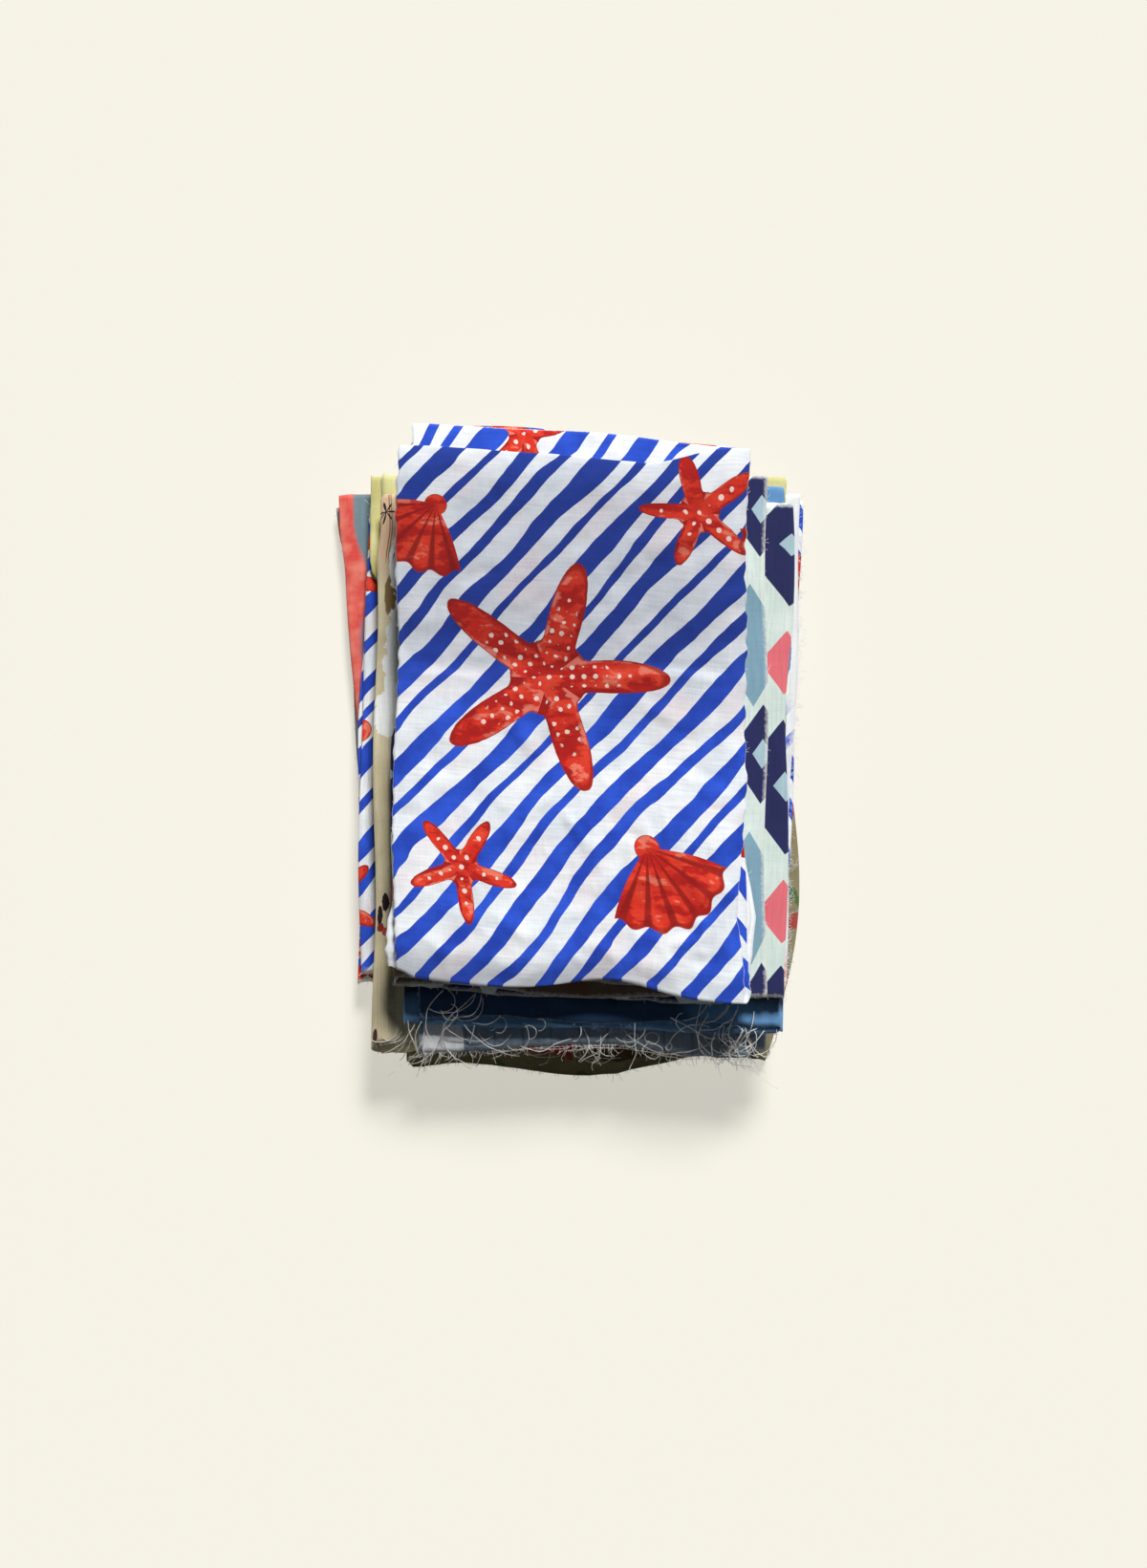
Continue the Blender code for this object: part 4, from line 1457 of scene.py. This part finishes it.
def tangled_rows():
    """Curly loose threads, as rows of places like those of the long ones."""
    draw = np.random.default_rng(TANGLE_SEED)
    rows = []
    for tangle in TANGLES:
        for _ in range(tangle.count):
            x = draw.uniform(tangle.x_start, tangle.x_end)
            y = draw.uniform(tangle.y_start, tangle.y_end)
            heading = tangle.heading + draw.normal(0, tangle.spread)
            turning = draw.normal(0.5 * tangle.turning, abs(tangle.turning))
            step = tangle.reach * draw.uniform(*TANGLE_LENGTHS) / TANGLE_STEPS
            high = draw.uniform(*TANGLE_HEIGHTS)
            row = []
            for index in range(TANGLE_STEPS + 1):
                lift = TANGLE_END + high * math.sin(math.pi * index / TANGLE_STEPS)
                row.append((kept_below(x, RIGHT_LIMIT), -kept_below(-y, -FRONT_LIMIT), lift))
                x += step * math.cos(heading)
                y += step * math.sin(heading)
                heading += turning + draw.normal(0, TANGLE_UNEVEN)
            rows.append(row)
    return rows


# Long loose threads, in millimetres. The last value is how far a thread stands above
# what it lies on.
LONG_THREADS = (
    ((-48, -95, 1), (-52, -99, 2), (-56, -104, 2), (-57, -108.5, 1), (-57, -113, 1), (-55, -117, 1)),
    ((-56, -104.5, 1), (-52, -106, 1.5), (-47, -106, 2), (-43, -105, 2), (-39, -102, 2), (-37, -97, 1)),
    ((-35, -97, 1), (-36, -103, 2), (-39, -107, 2), (-45, -108, 1), (-48, -111, 1), (-51, -114, 1),
     (-50, -118, 1)),
    ((-38, -99, 2), (-42, -103, 3), (-47, -107, 2), (-50, -111, 1), (-50.5, -115, 1)),
    ((-38, -111, 1), (-39, -115, 1), (-40, -118, 1)),
    ((51, -103, 1), (49, -112, 2), (51, -118, 1), (55, -122, 0)),
    ((39, -108, 1), (46, -111.5, 2), (53, -115.5, 2), (57, -116, 1)),
    ((65, -105, 1), (62, -113, 2), (63, -118, 2), (66, -122, 1), (67, -125, 1)),
    ((72, -105.5, 1), (71, -111, 2), (69, -116.5, 2), (65, -120.5, 1)),
    ((76, -113, 1), (72, -118, 3), (67, -121, 3)),
    ((81, -112, 0), (80.5, -117.5, 0), (76.5, -121.5, 1), (72, -122.5, 3)),
    ((25, -110, 1), (25, -117, 2), (25.5, -122, 2), (23, -128, 1)),
    ((5, -112, 1), (7, -117, 1), (6, -121.5, 2), (3, -125, 1)),
    ((1, -122, 3), (7, -124.5, 3), (13.5, -125, 2), (21, -120, 2)),
    ((-20, -119, 2), (-12, -121, 3), (-6, -118, 2), (0, -116, 1)),
    ((30, -117, 2), (36, -120, 3), (33, -124, 2), (28, -121, 3), (31, -117, 1)),
)
LONG_THREAD = 0.34 * MM


def smooth_line(points, steps):
    """A smooth curve through points, in so many steps between each two."""
    points = np.array(points, float)
    padded = np.vstack([2 * points[0] - points[1], points, 2 * points[-1] - points[-2]])
    made = []
    for before, start, end, after in zip(padded, padded[1:], padded[2:], padded[3:]):
        for share in np.linspace(0, 1, steps, endpoint=False):
            made.append(0.5 * (
                2 * start + (end - before) * share
                + (2 * before - 5 * start + 4 * end - after) * share**2
                + (3 * start - before - 3 * end + after) * share**3
            ))
    made.append(points[-1])
    return np.array(made)


# The top cloths that the long threads come out from under, how steeply a thread can
# hang, as its drop over the way it goes, the fewest places that make a thread, the steps
# between two given places, and how often its heights are softened
COVERING = 2
THREAD_SLOPE = 0.55
FEWEST_PLACES = 8
STEPS_BETWEEN = 7
SOFTENINGS = 5
# Their height where no cloth lies below, and a height above the whole bundle
OFF_CLOTH = 2 * MM
ABOVE_ALL = 200 * MM


def height_below(trees, x, y):
    """Height of the highest cloth at a place, or None where there is none."""
    hits = [tree.ray_cast(Vector((x, y, ABOVE_ALL)), Vector((0, 0, -1)))[0] for tree in trees]
    return max([hit.z for hit in hits if hit], default=None)


def long_threads(pieces):
    """The long loose threads, each laid on the cloths below it or hanging off their edges."""
    graph = bpy.context.evaluated_depsgraph_get()
    trees = [BVHTree.FromObject(piece, graph) for piece in pieces]
    paths = []
    for row in (*LONG_THREADS, *tangled_rows()):
        line = smooth_line(row, STEPS_BETWEEN) * MM
        line = line[[height_below(trees[:COVERING], x, y) is None for x, y, _ in line]]
        if len(line) < FEWEST_PLACES:
            continue
        heights = [height_below(trees[COVERING:], x, y) or OFF_CLOTH for x, y, _ in line]
        drops = THREAD_SLOPE * np.linalg.norm(np.diff(line[:, :2], axis=0), axis=1)
        for index, drop in enumerate(drops):
            heights[index + 1] = max(heights[index + 1], heights[index] - drop)
        for index in range(len(drops) - 1, -1, -1):
            heights[index] = max(heights[index], heights[index + 1] - drops[index])
        soft = np.array(heights)
        for _ in range(SOFTENINGS):
            soft[1:-1] = (soft[:-2] + 2 * soft[1:-1] + soft[2:]) / 4
        lift = LONG_THREAD / 2 + line[:, 2]
        line[:, 2] = np.maximum(soft, heights) + lift
        paths.append(line)
    return paths


def make_loose_threads(cloths):
    """The ravelled threads of the fringe, and the long and curly ones."""
    fibre = thread_material("loose_fibre", "#fbfaf6", "#d4d2cd")
    sheet = cloths["grey_blue"][0]
    ravel = threads("ravelled_threads", ravelled_edge(sheet), RAVEL_THREAD, fibre)
    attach(ravel, "root")
    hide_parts("frayed_edge")
    pieces = [row[1] for row in cloths.values()]
    long = threads("long_threads", long_threads(pieces), LONG_THREAD, fibre)
    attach(long, "root")
    return ravel, long


def declare_sheets(cloths, loose):
    """Finds, for each cloth, the cloth below it and the threads that lie on it, and does nothing more
    with them.
    """
    for order, (name, (sheet, piece, fuzz)) in enumerate(cloths.items()):
        below = [cloths[NAMES[order + 1]][1]] if order + 1 < len(NAMES) else []
        on_it = [fuzz, *loose] if name == "grey_blue" else [fuzz]


# The floor, the light and the camera
FLOOR_SIZE = 6.0
FLOOR_COLOUR = "#f6f3e7"
# The share of the floor's white that it glows with, so that its shadows stay pale
FLOOR_GLOW = 0.62


def make_floor():
    bpy.ops.object.select_all(action="DESELECT")
    bpy.ops.mesh.primitive_plane_add(size=FLOOR_SIZE, location=(0, 0, 0))
    floor = bpy.context.object
    floor.name = "floor"
    made, shader = new_material("floor_paper", 0.95, 0.1)
    colour = srgb(FLOOR_COLOUR)
    lit = [value * (1 - FLOOR_GLOW) for value in colour[:3]]
    shader.inputs["Base Color"].default_value = (*lit, 1)
    shader.inputs["Emission Color"].default_value = colour
    shader.inputs["Emission Strength"].default_value = FLOOR_GLOW
    floor.data.materials.append(made)


# Where the light comes from, and the share of full white that it gives to a level white
# sheet. Its softness is in degrees.
LIGHT_FROM = (0.24, 1.0, 1.0)
LIGHT_SHARE = 0.95
LIGHT_SOFTNESS = 16
LIGHT_COLOUR = (1.0, 0.995, 0.98)
SKY_SHARE = 0.05
SKY_COLOUR = (0.95, 0.98, 1.0, 1)


def make_lights():
    way = Vector(LIGHT_FROM).normalized()
    light = bpy.data.lights.new("back_window", "SUN")
    light.energy = LIGHT_SHARE * math.pi / way.z
    light.angle = math.radians(LIGHT_SOFTNESS)
    light.color = LIGHT_COLOUR
    lamp = new_object("back_window", light)
    lamp.location = way
    lamp.rotation_euler = (-way).to_track_quat("-Z", "Y").to_euler()
    world = bpy.data.worlds.new("studio")
    bpy.context.scene.world = world
    world.use_nodes = True
    background = world.node_tree.nodes["Background"]
    background.inputs["Color"].default_value = SKY_COLOUR
    background.inputs["Strength"].default_value = SKY_SHARE
    bpy.context.scene.view_settings.view_transform = "Standard"


# The photo's view: 900 mm away, tilted 8 degrees, 0.375 mm a pixel on the top cloth
CAMERA_PLACE = (0.94 * MM, -142.5 * MM, 943.2 * MM)
CAMERA_TILT = math.radians(8)
CAMERA_DISTANCE = 900 * MM
PIXEL_SIZE = 0.375 * MM
PHOTO_HEIGHT = 1641
SENSOR = 36


def make_camera():
    camera = bpy.data.cameras.new("camera")
    camera.sensor_width = SENSOR
    camera.lens = CAMERA_DISTANCE / PIXEL_SIZE / PHOTO_HEIGHT * SENSOR
    standing = new_object("camera", camera)
    standing.location = CAMERA_PLACE
    standing.rotation_euler = (CAMERA_TILT, 0, 0)
    bpy.context.scene.camera = standing


make_camera()
make_lights()
make_floor()
CLOTH_PIECES = make_cloths()
LOOSE = make_loose_threads(CLOTH_PIECES)
declare_sheets(CLOTH_PIECES, LOOSE)
